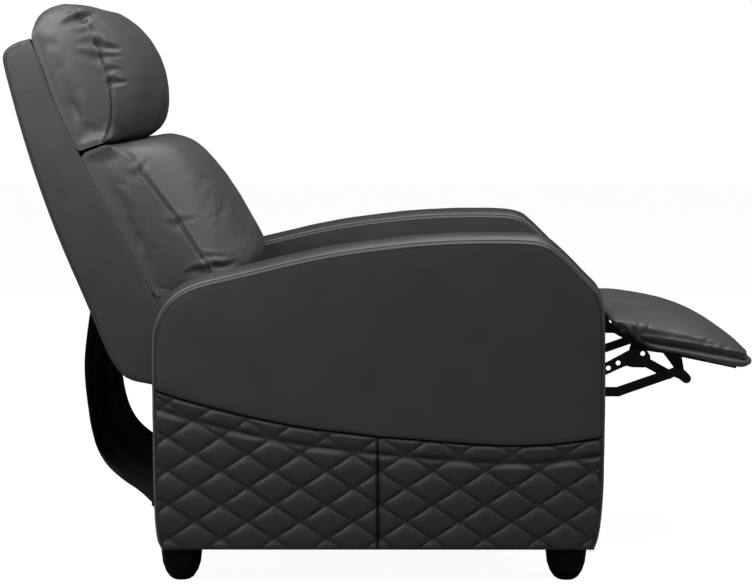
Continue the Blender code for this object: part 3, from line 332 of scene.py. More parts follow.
def spaced(line, step):
    """An open line with points at equal steps along it."""
    line = [Vector(p) for p in line]
    lengths = [0.0]
    for a, b in zip(line, line[1:]):
        lengths.append(lengths[-1] + (b - a).length)
    count = max(2, round(lengths[-1] / step))
    out = []
    j = 0
    for i in range(count + 1):
        want = lengths[-1] * i / count
        while j < len(line) - 2 and lengths[j + 1] < want:
            j += 1
        span = max(lengths[j + 1] - lengths[j], 1e-9)
        out.append(line[j].lerp(line[j + 1], min(1.0, (want - lengths[j]) / span)))
    return out


def line_height(line, forward):
    for a, b in zip(line, line[1:]):
        if a[0] <= forward <= b[0]:
            return a[1] + (b[1] - a[1]) * (forward - a[0]) / max(b[0] - a[0], 1e-9)
    return line[0][1] if forward < line[0][0] else line[-1][1]


def inset(points, distance):
    """A closed outline moved inward."""
    area = sum(a[0] * b[1] - b[0] * a[1] for a, b in zip(points, points[1:] + points[:1]))
    turn = -1 if area > 0 else 1
    moved = []
    for i, here in enumerate(points):
        before = Vector(here) - Vector(points[i - 1])
        after = Vector(points[(i + 1) % len(points)]) - Vector(here)
        n1 = Vector((before.y, -before.x)).normalized() * turn
        n2 = Vector((after.y, -after.x)).normalized() * turn
        middle = n1 + n2
        middle = middle.normalized() if middle.length > 1e-6 else n1
        reach = distance / max(middle.dot(n1), 0.6)
        moved.append((here[0] + middle.x * reach, here[1] + middle.y * reach))
    return moved


def leftward(line, i):
    """The unit normal to the left of an open line, at one of its points."""
    step = Vector(line[min(i + 1, len(line) - 1)]) - Vector(line[max(i - 1, 0)])
    return Vector((-step.y, step.x)).normalized()


def shifted(line, distance):
    """An open line moved to its left."""
    return [Vector(here) + leftward(line, i) * distance for i, here in enumerate(line)]


# Finishes
def linear(text):
    """An sRGB hex value as a linear colour."""
    out = []
    for i in (1, 3, 5):
        v = int(text[i:i + 2], 16) / 255
        out.append(v / 12.92 if v <= 0.04045 else ((v + 0.055) / 1.055) ** 2.4)
    return (*out, 1.0)


def add_node(tree, kind, values=None, links=None, **options):
    """One node with its options, socket values and links."""
    item = tree.nodes.new(kind)
    for key, value in options.items():
        setattr(item, key, value)
    for key, value in (values or {}).items():
        item.inputs[key].default_value = value
    for key, source in (links or {}).items():
        tree.links.new(source, item.inputs[key])
    return item


class Finish:
    """A material under construction: its shader, and the object's own coordinates in metres."""

    def __init__(self, name, roughness, metallic=0.0, ior=1.5, gloss=0.5):
        self.material = bpy.data.materials.new(name)
        self.material.use_nodes = True
        self.tree = self.material.node_tree
        self.inputs = self.tree.nodes["Principled BSDF"].inputs
        self.inputs["Roughness"].default_value = roughness
        self.inputs["Metallic"].default_value = metallic
        if not metallic:
            self.inputs["IOR"].default_value = ior
            self.inputs["Specular IOR Level"].default_value = gloss
        self.where = add_node(self.tree, "ShaderNodeTexCoord").outputs["Object"]

    def texture(self, kind, size_mm, links=None, **options):
        """A texture whose pattern repeats about every so many millimetres."""
        values = {key: options.pop(key) for key in list(options) if key[0].isupper()}
        return add_node(self.tree, kind, {"Scale": 1000.0 / size_mm, **values},
                        {"Vector": self.where, **(links or {})}, **options)

    def speckle(self, size_mm, detail, distortion=0.0):
        item = self.texture("ShaderNodeTexNoise", size_mm, Detail=detail, Distortion=distortion)
        return item.outputs["Fac"]

    def ramp(self, source, low, high, start, end):
        """The base colour, from one colour to another along a texture's value."""
        ramp = add_node(self.tree, "ShaderNodeValToRGB", links={"Fac": source})
        for stop, at, colour in zip(ramp.color_ramp.elements, (start, end), (low, high)):
            stop.position = at
            stop.color = colour
        self.tree.links.new(ramp.outputs["Color"], self.inputs["Base Color"])

    def mottle(self, colour, spread, size_mm):
        """A colour that drifts a little lighter and darker over patches of one size."""
        patch = self.speckle(size_mm, 4.0)
        base = linear(colour)
        low = tuple(c * (1 - spread) for c in base[:3]) + (1.0,)
        high = tuple(min(1.0, c * (1 + spread)) for c in base[:3]) + (1.0,)
        self.ramp(patch, low, high, 0.3, 0.7)
        return patch

    def rub(self, patch, low, high):
        """A roughness that follows the patches."""
        dull = add_node(self.tree, "ShaderNodeMapRange", {"To Min": low, "To Max": high}, {"Value": patch})
        self.tree.links.new(dull.outputs["Result"], self.inputs["Roughness"])

    def math(self, operation, a, b):
        """Two values joined by one operation; the second may be a plain number."""
        number = isinstance(b, float)
        return add_node(self.tree, "ShaderNodeMath", {1: b} if number else {},
                        {0: a} if number else {0: a, 1: b}, operation=operation).outputs[0]

    def relief(self, *layers):
        """Bumps laid over each other, each a height source, a strength and a distance."""
        normal = {}
        for height, strength, distance in layers:
            bump = add_node(self.tree, "ShaderNodeBump", {"Strength": strength, "Distance": distance},
                            {"Height": height, **normal})
            normal = {"Normal": bump.outputs["Normal"]}
        self.tree.links.new(normal["Normal"], self.inputs["Normal"])


def leatherette(name, colour, roughness=0.46):
    """Polyurethane leatherette, embossed: a pebble grain, soft creases and patches rubbed smoother.
    The grain is drawn at 2.2 mm, coarser than the real 0.8 mm, so that it shows."""
    made = Finish(name, roughness)
    patch = made.mottle(colour, 0.07, 90.0)
    pebble = made.texture("ShaderNodeTexVoronoi", 2.2, Randomness=0.9, feature="SMOOTH_F1")
    pores = made.math("MULTIPLY", made.speckle(1.1, 3.0), 0.35)
    grain = made.math("ADD", pebble.outputs["Distance"], pores)
    made.relief((grain, 0.55, 0.0001), (made.speckle(38.0, 5.0, 0.6), 0.5, 0.0012))
    made.rub(patch, roughness - 0.05, roughness + 0.07)
    return made.material


def sewing_thread():
    """Bonded polyester thread: twisted, a little shinier than the hide."""
    made = Finish("polyester_thread", 0.55)
    made.mottle(settings().recliner_colours.thread, 0.25, 3.0)
    twist = made.texture("ShaderNodeTexWave", 2.0, bands_direction="DIAGONAL")
    made.relief((twist.outputs["Fac"], 0.5, 0.0001))
    return made.material


def stove_enamel():
    """Stamped steel plate in black stove enamel: a faint orange peel and scuffs at 12 mm."""
    made = Finish("black_stove_enamel", 0.36, gloss=0.3)
    scuff = made.mottle(settings().recliner_colours.steel, 0.35, 12.0)
    made.relief((made.speckle(2.5, 2.0), 0.35, 0.00008))
    made.rub(scuff, 0.30, 0.50)
    return made.material


def bright_steel():
    """Drawn and zinc-plated steel: bright, with a cloudy bloom."""
    made = Finish("zinc_plated_steel", 0.32, 1.0)
    made.rub(made.mottle("#b4b6b8", 0.12, 8.0), 0.26, 0.42)
    return made.material


def moulded_plastic():
    """Injection-moulded polypropylene: spark-eroded texture, a soft low gloss."""
    made = Finish("moulded_polypropylene", 0.55, ior=1.49, gloss=0.1)
    made.mottle(settings().recliner_colours.plastic, 0.15, 20.0)
    made.relief((made.speckle(0.9, 4.0), 0.4, 0.00008))
    return made.material


def lining_cloth():
    """Spun-bonded black lining cloth: matt, with a fine crossed print of 9 mm."""
    made = Finish("spun_bonded_cloth", 0.92, gloss=0.1)
    made.inputs["Sheen Weight"].default_value = 0.05
    made.mottle(settings().recliner_colours.cloth, 0.2, 40.0)
    warp = made.texture("ShaderNodeTexWave", 9.0, bands_direction="X").outputs["Fac"]
    weft = made.texture("ShaderNodeTexWave", 9.0, bands_direction="Z").outputs["Fac"]
    made.relief((made.math("MULTIPLY", warp, weft), 0.5, 0.0002))
    return made.material


def timber(name, light, dark, along):
    """Sawn wood: darker growth rings every few millimetres, drawn out along the length."""
    made = Finish(name, 0.62)
    stretch = add_node(made.tree, "ShaderNodeMapping", {"Scale": (1.0, along, 1.0)}, {"Vector": made.where})
    rings = made.texture("ShaderNodeTexNoise", 6.0, {"Vector": stretch.outputs["Vector"]},
                         Detail=6.0, Distortion=1.2).outputs["Fac"]
    made.ramp(rings, linear(dark), linear(light), 0.35, 0.65)
    made.relief((rings, 0.3, 0.0003))
    return made.material


FINISHES = {}


def finish(name):
    """The named finish, made once."""
    colours = settings().recliner_colours
    makers = {
        "hide": lambda: leatherette("embossed_leatherette", colours.hide),
        "soft": lambda: leatherette("soft_leatherette", colours.soft, 0.44),
        "quilt": lambda: leatherette("quilted_leatherette", colours.quilt, 0.52),
        "edge": lambda: leatherette("boxing_leatherette", colours.edge, 0.40),
        # Piping in a lighter grey than the hide: a painted highlight along the arms' edges
        "welt": lambda: leatherette("piping_leatherette_painted_highlight", colours.welt, 0.30),
        "thread": sewing_thread,
        "steel": stove_enamel,
        "bright": bright_steel,
        "plastic": moulded_plastic,
        "cloth": lining_cloth,
        "plywood": lambda: timber("birch_plywood", "#c9a879", "#a98255", 0.15),
        "faced": lambda: timber("black_faced_plywood", "#1b1a19", "#121111", 0.15),
        "hardwood": lambda: timber("planed_beech", "#b98d5e", "#8f6540", 0.10),
    }
    if name not in FINISHES:
        FINISHES[name] = makers[name]()
    return FINISHES[name]


# Making pieces
def as_piece(name, mesh, material, sharp=40):
    mesh.name = name
    item = bpy.data.objects.new(name, mesh)
    bpy.context.scene.collection.objects.link(item)
    mesh.materials.clear()
    mesh.materials.append(material)
    mesh.shade_smooth()
    mesh.set_sharp_from_angle(angle=math.radians(sharp))
    return item


def fitted(item, body, node=None):
    """A piece on its body, standing in for a node where that is given: that node is hidden."""
    if node:
        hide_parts(node)
    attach(item, body)
    return item


def evaluated(item):
    """The item's shape with its modifiers, as a new mesh."""
    bpy.context.view_layer.update()
    graph = bpy.context.evaluated_depsgraph_get()
    return bpy.data.meshes.new_from_object(item.evaluated_get(graph))


def mesh_of(work, name):
    bmesh.ops.remove_doubles(work, verts=work.verts, dist=0.00002)
    bmesh.ops.recalc_face_normals(work, faces=work.faces)
    data = bpy.data.meshes.new(name)
    work.to_mesh(data)
    work.free()
    return data


def ring_faces(work, a, b):
    for i in range(len(a)):
        j = (i + 1) % len(a)
        work.faces.new((a[i], a[j], b[j], b[i]))


def lofted(name, rings, material):
    """A skin over closed rings of points, capped at both ends."""
    work = bmesh.new()
    rows = [[work.verts.new(spot) for spot in ring] for ring in rings]
    for a, b in zip(rows, rows[1:]):
        ring_faces(work, a, b)
    work.faces.new(rows[0])
    work.faces.new(rows[-1])
    return as_piece(name, mesh_of(work, name), material, 50)


def inside_outline(points, outline):
    """Which of the points lie inside a closed outline."""
    x, y = points[:, 0], points[:, 1]
    crossings = np.zeros(len(points), int)
    for (ax, ay), (bx, by) in zip(outline, outline[1:] + outline[:1]):
        if ay == by:
            continue
        at = ax + (bx - ax) * (y - ay) / (by - ay)
        crossings += ((ay > y) != (by > y)) & (x < at)
    return crossings % 2 == 1


def nearest_on(spots, path):
    """Each point's distance to a path, how far along it the nearest place is, and that place."""
    best = np.full(len(spots), np.inf)
    along = np.zeros(len(spots))
    nearest = spots.copy()
    for i, (a, b) in enumerate(zip(path, path[1:])):
        start = np.array(a)
        step = np.array(b) - start
        t = np.clip(((spots - start) @ step) / max(step @ step, 1e-12), 0, 1)
        foot = start + t[:, None] * step
        gap = np.linalg.norm(spots - foot, axis=1)
        closer = gap < best
        best[closer] = gap[closer]
        along[closer] = (i + t[closer]) / (len(path) - 1)
        nearest[closer] = foot[closer]
    return best, along, nearest


def outline_distance(points, outline):
    return nearest_on(points, outline + outline[:1])[0]


def rolled_panel(name, outline, across, side, way, thickness, roll, crown, material, spacing=0.009):
    """A board under foam and hide: flat back, rolled rim, slightly crowned and uneven face."""
    work = bmesh.new()
    levels = [(0.0006, 0.0), (0.0, 0.0010), (0.0, thickness - roll)]
    for i in range(1, 6):
        angle = math.pi / 2 * i / 5
        levels.append((roll * (1 - math.cos(angle)), thickness - roll + roll * math.sin(angle)))
    rings = []
    for reach, depth in levels:
        ring = inset(outline, reach)
        rings.append([work.verts.new(place(f, u, side * (across + way * depth))) for f, u in ring])
    for a, b in zip(rings, rings[1:]):
        ring_faces(work, a, b)
    work.faces.new(rings[0])
    rim = inset(outline, roll)
    low, high = np.min(rim, axis=0), np.max(rim, axis=0)
    columns = np.arange(low[0], high[0], spacing)
    rows = np.arange(low[1], high[1], spacing * 0.87)
    grid = np.array([(f + (j % 2) * spacing / 2, u) for j, u in enumerate(rows) for f in columns])
    gap = outline_distance(grid, rim)
    kept = inside_outline(grid, rim) & (gap > spacing * 0.55)
    spots = [Vector(p) for p in rim] + [Vector(p) for p in grid[kept]]
    flat, _, faces, _, _, _ = delaunay_2d_cdt(spots, [], [list(range(len(rim)))], 1, 1e-7)
    gaps = outline_distance(np.array([tuple(p) for p in flat]), rim)
    verts = []
    for p, gap in zip(flat, gaps):
        share = 1 - math.exp(-gap / 0.018)
        uneven = noise.noise(Vector((p.x * 9, p.y * 9, side * 4.0)))
        uneven += 0.4 * noise.noise(Vector((p.x * 31, p.y * 31, 1.0)))
        depth = thickness + share * (crown + 0.0009 * uneven)
        verts.append(work.verts.new(place(p.x, p.y, side * (across + way * depth))))
    for face in faces:
        work.faces.new([verts[i] for i in face])
    return as_piece(name, mesh_of(work, name), material)


def curve_through(name, paths):
    """A curve object with one straight-sided spline for each path."""
    data = bpy.data.curves.new(name, "CURVE")
    data.dimensions = "3D"
    for path in paths:
        if len(path) < 2:
            continue
        line = data.splines.new("POLY")
        line.points.add(len(path) - 1)
        for point, spot in zip(line.points, path):
            point.co = (*spot, 1)
    item = bpy.data.objects.new(name + "_path", data)
    bpy.context.scene.collection.objects.link(item)
    return item


def tube_along(name, points, radius, material):
    """A round welt along a path of world points."""
    item = curve_through(name, [points])
    item.data.bevel_depth = radius
    item.data.bevel_resolution = 2
    item.data.use_fill_caps = True
    mesh = evaluated(item)
    bpy.data.objects.remove(item, do_unlink=True)
    work = bmesh.new()
    work.from_mesh(mesh)
    return as_piece(name, mesh_of(work, name), material)


def stitch_tree():
    """Stitches along curves: pitch, length, thread radius and finish are its inputs."""
    if "stitch_row" in bpy.data.node_groups:
        return bpy.data.node_groups["stitch_row"]
    tree = bpy.data.node_groups.new("stitch_row", "GeometryNodeTree")
    face = tree.interface
    face.new_socket("Geometry", in_out="INPUT", socket_type="NodeSocketGeometry")
    for label, value in (("Pitch", 0.0046), ("Length", 0.0034), ("Radius", 0.00055)):
        socket = face.new_socket(label, in_out="INPUT", socket_type="NodeSocketFloat")
        socket.default_value = value
    face.new_socket("Finish", in_out="INPUT", socket_type="NodeSocketMaterial")
    face.new_socket("Geometry", in_out="OUTPUT", socket_type="NodeSocketGeometry")
    given = add_node(tree, "NodeGroupInput")
    points = add_node(tree, "GeometryNodeCurveToPoints", {},
                      {"Curve": given.outputs["Geometry"], "Length": given.outputs["Pitch"]}, mode="LENGTH")
    turn = add_node(tree, "FunctionNodeAlignRotationToVector", {}, {"Vector": points.outputs["Tangent"]},
                    axis="Z")
    body = add_node(tree, "GeometryNodeMeshCylinder", {"Vertices": 6, "Side Segments": 3},
                    {"Radius": given.outputs["Radius"], "Depth": given.outputs["Length"]})
    put = add_node(tree, "GeometryNodeInstanceOnPoints", {},
                   {"Points": points.outputs["Points"], "Instance": body.outputs["Mesh"],
                    "Rotation": turn.outputs["Rotation"]})
    real = add_node(tree, "GeometryNodeRealizeInstances", {}, {"Geometry": put.outputs["Instances"]})
    paint = add_node(tree, "GeometryNodeSetMaterial", {},
                     {"Geometry": real.outputs["Geometry"], "Material": given.outputs["Finish"]})
    add_node(tree, "NodeGroupOutput", {}, {"Geometry": paint.outputs["Geometry"]})
    return tree


def stitches(name, paths, body, pitch=None):
    """Thread stitches along world paths, as one plain mesh that rides on one body."""
    cloth = settings().recliner_cloth
    pitch = pitch or cloth.stitch
    row = curve_through(name, paths)
    tree = stitch_tree()
    maker = row.modifiers.new("stitch_row", "NODES")
    maker.node_group = tree
    given = {"Pitch": pitch, "Length": pitch * STITCH_SHARE, "Radius": cloth.thread,
             "Finish": finish("thread")}
    for socket in tree.interface.items_tree:
        if socket.in_out == "INPUT" and socket.name in given:
            maker[socket.identifier] = given[socket.name]
    mesh = evaluated(row)
    bpy.data.objects.remove(row, do_unlink=True)
    return fitted(as_piece(name, mesh, finish("thread"), 60), body)


# Arms
def arm_line():
    return spaced(rounded(arm_points()), ARM_STEP)


def curved_seam():
    return spaced(rounded(quilt_line()), ARM_STEP)


def welt_and_seam(word, side, across, label, inward):
    """The welt over the arm's edge and the row of stitches beside it."""
    arm = settings().recliner_arm
    line = arm_line()
    welt = [place(p.x, p.y, side * across) for p in shifted(line, arm.welt * 0.6)]
    fitted(tube_along("arm_welt_%s_%s" % (label, word), welt, arm.welt, finish("welt")),
           "base")
    row = [place(p.x, p.y, side * (across + inward)) for p in shifted(line, -EDGE_ROW)]
    stitches("arm_edge_stitches_%s_%s" % (label, word), [row], "base")


def arm_boxing(word, side):
    """The crowned strip over front, top and rear, puckered a little where it turns."""
    arm = settings().recliner_arm
    inner = arm.inside + arm.inner_panel + BOXING_GAP
    outer = arm.outside - arm.panel - BOXING_GAP
    line = arm_line()
    rings = []
    for i, p in enumerate(line):
        out = leftward(line, i)
        profile = []
        for s in range(17):
            t = s / 16
            rise = (1 - abs(2 * t - 1) ** 2.6) * arm.crown * (0.55 + 0.45 * max(0.0, out.y) ** 2)
            rise += 0.0007 * noise.noise(Vector((p.x * 22, p.y * 22, t * 4 + side)))
            profile.append((t, rise))
        profile += [(1.0, -BOXING_DEPTH), (0.0, -BOXING_DEPTH)]
        ring = []
        for t, rise in profile:
            spot = p + out * rise
            ring.append(place(spot.x, max(spot.y, arm.foot), side * (inner + t * (outer - inner))))
        rings.append(ring)
    fitted(lofted("arm_boxing_pad_" + word, rings, finish("edge")), "base",
           "arm_boxing_" + word)


def closed_arm_outline():
    line = arm_line()
    return [tuple(p) for p in line + spaced([line[-1], line[0]], ARM_STEP)[1:-1]]


def upper_outline():
    """The part of the arm's outline above the curved seam, closed by that seam."""
    seam = curved_seam()
    above = [p for p in arm_line() if p.y > line_height(seam, p.x)]
    return [tuple(p) for p in above + seam[-2:0:-1]]


class RECLINER_OT_arms(bpy.types.Operator):
    """Upholster the arms: upper side panels, inner panels, boxing, welts and edge stitching"""
    bl_idname = "recliner.arms"
    bl_label = "Arms"

    def execute(self, context):
        arm = context.scene.recliner_arm
        outer = arm.outside - arm.panel
        inner = arm.inside + arm.inner_panel
        for word, side in SIDES:
            item = rolled_panel("arm_upper_panel_" + word, upper_outline(), outer, side, 1,
                                arm.panel - HIDE_LIFT, OUTER_ROLL, PANEL_CROWN, finish("hide"))
            fitted(item, "base", "arm_side_panel_" + word)
            item = rolled_panel("arm_lining_panel_" + word, closed_arm_outline(), inner, side, -1,
                                arm.inner_panel - HIDE_LIFT, INNER_ROLL, PANEL_CROWN, finish("hide"))
            fitted(item, "base", "arm_inner_panel_" + word)
            arm_boxing(word, side)
            welt_and_seam(word, side, outer, "outer", arm.panel - EDGE_SINK)
            welt_and_seam(word, side, inner, "inner", EDGE_SINK - arm.inner_panel)
            across = side * (arm.outside + THREAD_LIFT)
            row = [place(p.x, p.y + CURVED_ROW, across) for p in curved_seam()[1:-1]]
            stitches("arm_curved_seam_stitches_" + word, [row], "base")
        return {"FINISHED"}


# Quilting
def quilt_curve():
    """The curved seam over the quilting as forward and upward arrays."""
    line = np.array([tuple(p) for p in spaced(rounded(quilt_line()), 0.004)])
    return line[:, 0], line[:, 1]


def quilt_limits(up, part):
    """Rear and front limits of a quilted panel at the given heights."""
    q = settings().recliner_quilt
    arm = settings().recliner_arm
    line = spaced(rounded(arm_points()), 0.002)
    edge = np.array([tuple(p) for p in line if p.y < arm.foot + arm.rise * 0.62])
    edge = edge[edge[:, 0] < q.seam if part == "rear" else edge[:, 0] > q.seam]
    edge = edge[np.argsort(edge[:, 1])]
    outer = np.interp(up, edge[:, 1], edge[:, 0])
    inner = np.full_like(outer, q.seam)
    return (outer, inner) if part == "rear" else (inner, outer)


def quilt_rise(forward, up, top):
    """Height of the quilting over its valleys, as a share of a diamond's puff."""
    q = settings().recliner_quilt
    a = (forward - q.start_forward) / q.width + (up - q.start_up) / q.height
    b = (forward - q.start_forward) / q.width - (up - q.start_up) / q.height
    rise = np.ones_like(forward)
    pucker = np.zeros_like(forward)
    for here, along in ((a, b), (b, a)):
        t = np.abs(2 * (here % 1.0) - 1)
        rise *= (1 - t ** 2.8) ** 0.62
        wave = np.cos(along * 2 * np.pi * 7 + 3 * np.sin(5 * np.floor(here)))
        pucker += np.exp(-((1 - t) / 0.24) ** 2) * wave
    gap = np.abs(top - q.band - up)
    rise *= (1 - np.exp(-(gap / 0.0060) ** 2)) * np.where(up > top - q.band, 0.85, 1.0)
    return rise + 0.07 * pucker * np.sqrt(rise)


def edge_roll(distance, radius=0.008):
    t = np.clip(distance / radius, 0.0, 1.0)
    return np.sqrt(1 - (1 - t) ** 2)


def quilted_panel(word, side, part):
    arm = settings().recliner_arm
    q = settings().recliner_quilt
    columns, rows = 180, 110
    s, t = np.meshgrid(np.linspace(0, 1, columns + 1), np.linspace(0, 1, rows + 1), indexing="ij")
    up = arm.foot + t * 0.2
    for _ in range(4):
        rear, front = quilt_limits(up, part)
        forward = rear + (front - rear) * s
        top = np.interp(forward, *quilt_curve()) - 0.0006
        up = arm.foot + (top - arm.foot) * t
    gaps = forward - rear, front - forward
    edge_gap, seam_gap = gaps if part == "rear" else gaps[::-1]
    roll = edge_roll(edge_gap) * edge_roll(up - arm.foot, 0.012) * edge_roll(top - up, 0.007)
    roll = np.minimum(roll, 0.35 + 0.65 * edge_roll(seam_gap, 0.006))
    depth = RIM_DEPTH + roll * (q.valley - RIM_DEPTH + q.puff * quilt_rise(forward, up, top))
    back = arm.outside - arm.panel
    work = bmesh.new()
    verts = [[work.verts.new(place(forward[i, j], up[i, j], side * (back + depth[i, j])))
              for j in range(rows + 1)] for i in range(columns + 1)]
    for i in range(columns):
        for j in range(rows):
            work.faces.new((verts[i][j], verts[i + 1][j], verts[i + 1][j + 1], verts[i][j + 1]))
    rim = [line[0] for line in verts] + verts[columns][1:]
    rim += [line[rows] for line in verts[-2::-1]] + verts[0][rows - 1:0:-1]
    foot = [work.verts.new(Vector((side * (back + 0.0003), v.co.y, v.co.z))) for v in rim]
    ring_faces(work, rim, foot)
    work.faces.new(foot)
    name = "arm_quilting_%s_%s" % (part, word)
    fitted(as_piece(name, mesh_of(work, name), finish("quilt"), 60), "base",
           "arm_quilt_%s_%s" % (part, word))


def quilt_stitches(word, side, part):
    """The rows of thread in the quilting's valleys, along the band and beside the upright seam."""
    arm = settings().recliner_arm
    q = settings().recliner_quilt
    back = arm.outside - arm.panel
    forward = np.linspace(-arm.depth, 0.0, 400)
    top = np.interp(forward, *quilt_curve())
    share = (forward - q.start_forward) / q.width
    lines = [q.start_up + way * (k - share) * q.height for way in (1, -1) for k in range(-14, 22)]
    lines.append(top - q.band)
    paths = []
    for up in lines:
        rear, front = quilt_limits(up, part)
        kept = (rear + ROW_MARGIN < forward) & (forward < front - ROW_MARGIN)
        kept &= (arm.foot + 2 * ROW_MARGIN < up) & (up < top - ROW_MARGIN)
        depth = q.valley + q.puff * quilt_rise(forward, up, top) + THREAD_LIFT
        for sewn, run in groupby(range(len(forward)), key=lambda i: kept[i]):
            if sewn:
                paths.append([place(forward[i], up[i], side * (back + depth[i])) for i in run])
    beside = q.seam + (-SEAM_ROW if part == "rear" else SEAM_ROW)
    top = float(np.interp(beside, *quilt_curve()))
    ups = np.linspace(arm.foot + 2 * ROW_MARGIN, top - q.band - 0.006, 60)
    depth = q.valley + q.puff * quilt_rise(np.full_like(ups, beside), ups, np.full_like(ups, top))
    paths.append([place(beside, u, side * (back + d + 2 * THREAD_LIFT)) for u, d in zip(ups, depth)])
    stitches("arm_quilting_stitches_%s_%s" % (part, word), paths, "base", 0.0042)


class RECLINER_OT_quilting(bpy.types.Operator):
    """Make the quilted lower panels of the arms and their stitching"""
    bl_idname = "recliner.quilting"
    bl_label = "Quilting"

    def execute(self, context):
        for word, side in SIDES:
            for part in ("rear", "front"):
                quilted_panel(word, side, part)
                quilt_stitches(word, side, part)
        return {"FINISHED"}


# Stuffed pieces
def copy_of_node(node, name):
    work = bmesh.new()
    work.from_mesh(frame["nodes"][node].data)
    return as_piece(name, mesh_of(work, name), finish("soft"))


def settle(item):
    """The item's evaluated shape as its plain mesh."""
    mesh = evaluated(item)
    item.modifiers.clear()
    old = item.data
    item.data = mesh
    bpy.data.meshes.remove(old)


def coordinates(mesh):
    flat = np.empty(len(mesh.vertices) * 3)
    mesh.vertices.foreach_get("co", flat)
    return flat.reshape(-1, 3)


def normals(mesh):
    flat = np.empty(len(mesh.vertices) * 3)
    mesh.vertex_normals.foreach_get("vector", flat)
    return flat.reshape(-1, 3)


def set_coordinates(mesh, spots):
    mesh.vertices.foreach_set("co", np.ascontiguousarray(spots).ravel())
    mesh.update()


def held_form(mesh, home, spots):
    """The settled fabric's own folds, laid back over the form that the filling holds."""
    pairs = np.empty(len(mesh.edges) * 2, int)
    mesh.edges.foreach_get("vertices", pairs)
    ends = np.concatenate([pairs[0::2], pairs[1::2]])
    others = np.concatenate([pairs[1::2], pairs[0::2]])
    count = np.bincount(ends, minlength=len(home))
    move = spots - home
    broad = move.copy()
    for _ in range(120):
        for axis in range(3):
            mean = np.bincount(ends, broad[others, axis], len(home)) / count
            broad[:, axis] = 0.5 * broad[:, axis] + 0.5 * mean
    return home + move - broad


def blown_up(item, cloth, shrink, cap):
    """Let the item's surface settle as cloth under its stuffing's pressure."""
    home = coordinates(item.data)
    spots = home - normals(item.data) * shrink
    set_coordinates(item.data, spots)
    hide = item.modifiers.new("hide", "CLOTH")
    for key, value in HIDE_NATURE.items():
        setattr(hide.settings, key, value)
    hide.settings.use_pressure = True
    hide.settings.uniform_pressure_force = cloth.pressure
    hide.settings.effector_weights.gravity = 0.0
    hide.point_cache.frame_start = 1
    hide.point_cache.frame_end = CLOTH_FRAMES
    for number in range(1, CLOTH_FRAMES + 1):
        bpy.context.scene.frame_set(number)
    blown = item.evaluated_get(bpy.context.evaluated_depsgraph_get())
    move = coordinates(blown.data) - spots
    item.modifiers.clear()
    bpy.context.scene.frame_set(1)
    reach = np.linalg.norm(move, axis=1, keepdims=True)
    move *= np.minimum(1.0, cap / np.maximum(reach, 1e-9))
    set_coordinates(item.data, held_form(item.data, home, spots + move))


def stuffed(node, name, shrink, cap, body):
    """A cushion: the form's own surface as cloth, blown up by its stuffing."""
    cloth = settings().recliner_cloth
    item = copy_of_node(node, name)
    grid = item.modifiers.new("grid", "REMESH")
    grid.mode = "VOXEL"
    grid.voxel_size = cloth.voxel
    settle(item)
    blown_up(item, cloth, shrink, cap)
    soften = item.modifiers.new("soften", "SMOOTH")
    soften.factor = 0.5
    soften.iterations = 2
    finer = item.modifiers.new("finer", "SUBSURF")
    finer.levels = 1
    finer.render_levels = 1
    settle(item)
    item.data.shade_smooth()
    return fitted(item, body, node)


def pushed(item, push, gap, width):
    """Move a piece's surface along its normals, near a path only."""
    push[gap > 4 * width] = 0
    set_coordinates(item.data, coordinates(item.data) + normals(item.data) * push[:, None])


def press_line(item, path, width, depth, lip=0.3):
    """A seam or crease pressed into a stuffed piece, with soft lips beside it."""
    gap, _, _ = nearest_on(coordinates(item.data), path)
    near = gap / width
    push = -depth * np.exp(-near ** 2) + lip * depth * np.exp(-((near - 1.9) / 0.8) ** 2)
    pushed(item, push, gap, width)


def press_fold(item, path, width, depth):
    """A fold drawn out of a seam: deepest near its start, running out to nothing, its upper lip full."""
    spots = coordinates(item.data)
    gap, along, nearest = nearest_on(spots, path)
    near = gap / (width * (1 - 0.55 * along))
    taper = (1 - along) ** 0.9 * np.clip(0.45 + along / 0.25, 0, 1)
    upper = np.where(spots[:, 2] > nearest[:, 2], 0.55, 0.18)
    push = taper * depth * (upper * np.exp(-((near - 1.9) / 0.8) ** 2) - np.exp(-near ** 2))
    pushed(item, push, gap, width)


def tree_of(item):
    return BVHTree.FromObject(item, bpy.context.evaluated_depsgraph_get())


def on_surface(item, points, lift=0.0):
    """The nearest places on a piece, with the normals there."""
    bpy.context.view_layer.update()
    tree = tree_of(item)
    out = []
    for point in points:
        spot, normal, _, _ = tree.find_nearest(point)
        out.append((spot + normal * lift, normal))
    return out


def laid_on(item, points, lift=0.0):
    return [spot for spot, _ in on_surface(item, points, lift)]


def double_seam(item, name, laid, body):
    """A sewn seam: pressed in, with a row of stitches on each side."""
    press_line(item, laid, SEAM_WIDTH, SEAM_DEPTH)
    rows = []
    found = on_surface(item, laid)
    for way in (-1, 1):
        guides = []
        for i, (spot, normal) in enumerate(found):
            a = found[max(i - 1, 0)][0]
            b = found[min(i + 1, len(found) - 1)][0]
            side = (b - a).cross(normal)
            if side.length < 1e-9:
                continue
            guides.append(spot + side.normalized() * SEAM_APART * way)
        rows.append(laid_on(item, guides, THREAD_LIFT))
    stitches(name, rows, body)


def back_spot(forward_share, up_share, across):
    (forward, up), = back_points([(forward_share, up_share)])
    return place(forward, up, across)


def back_line(shares):
    return spaced(rounded(back_points(shares)), BACK_STEP)


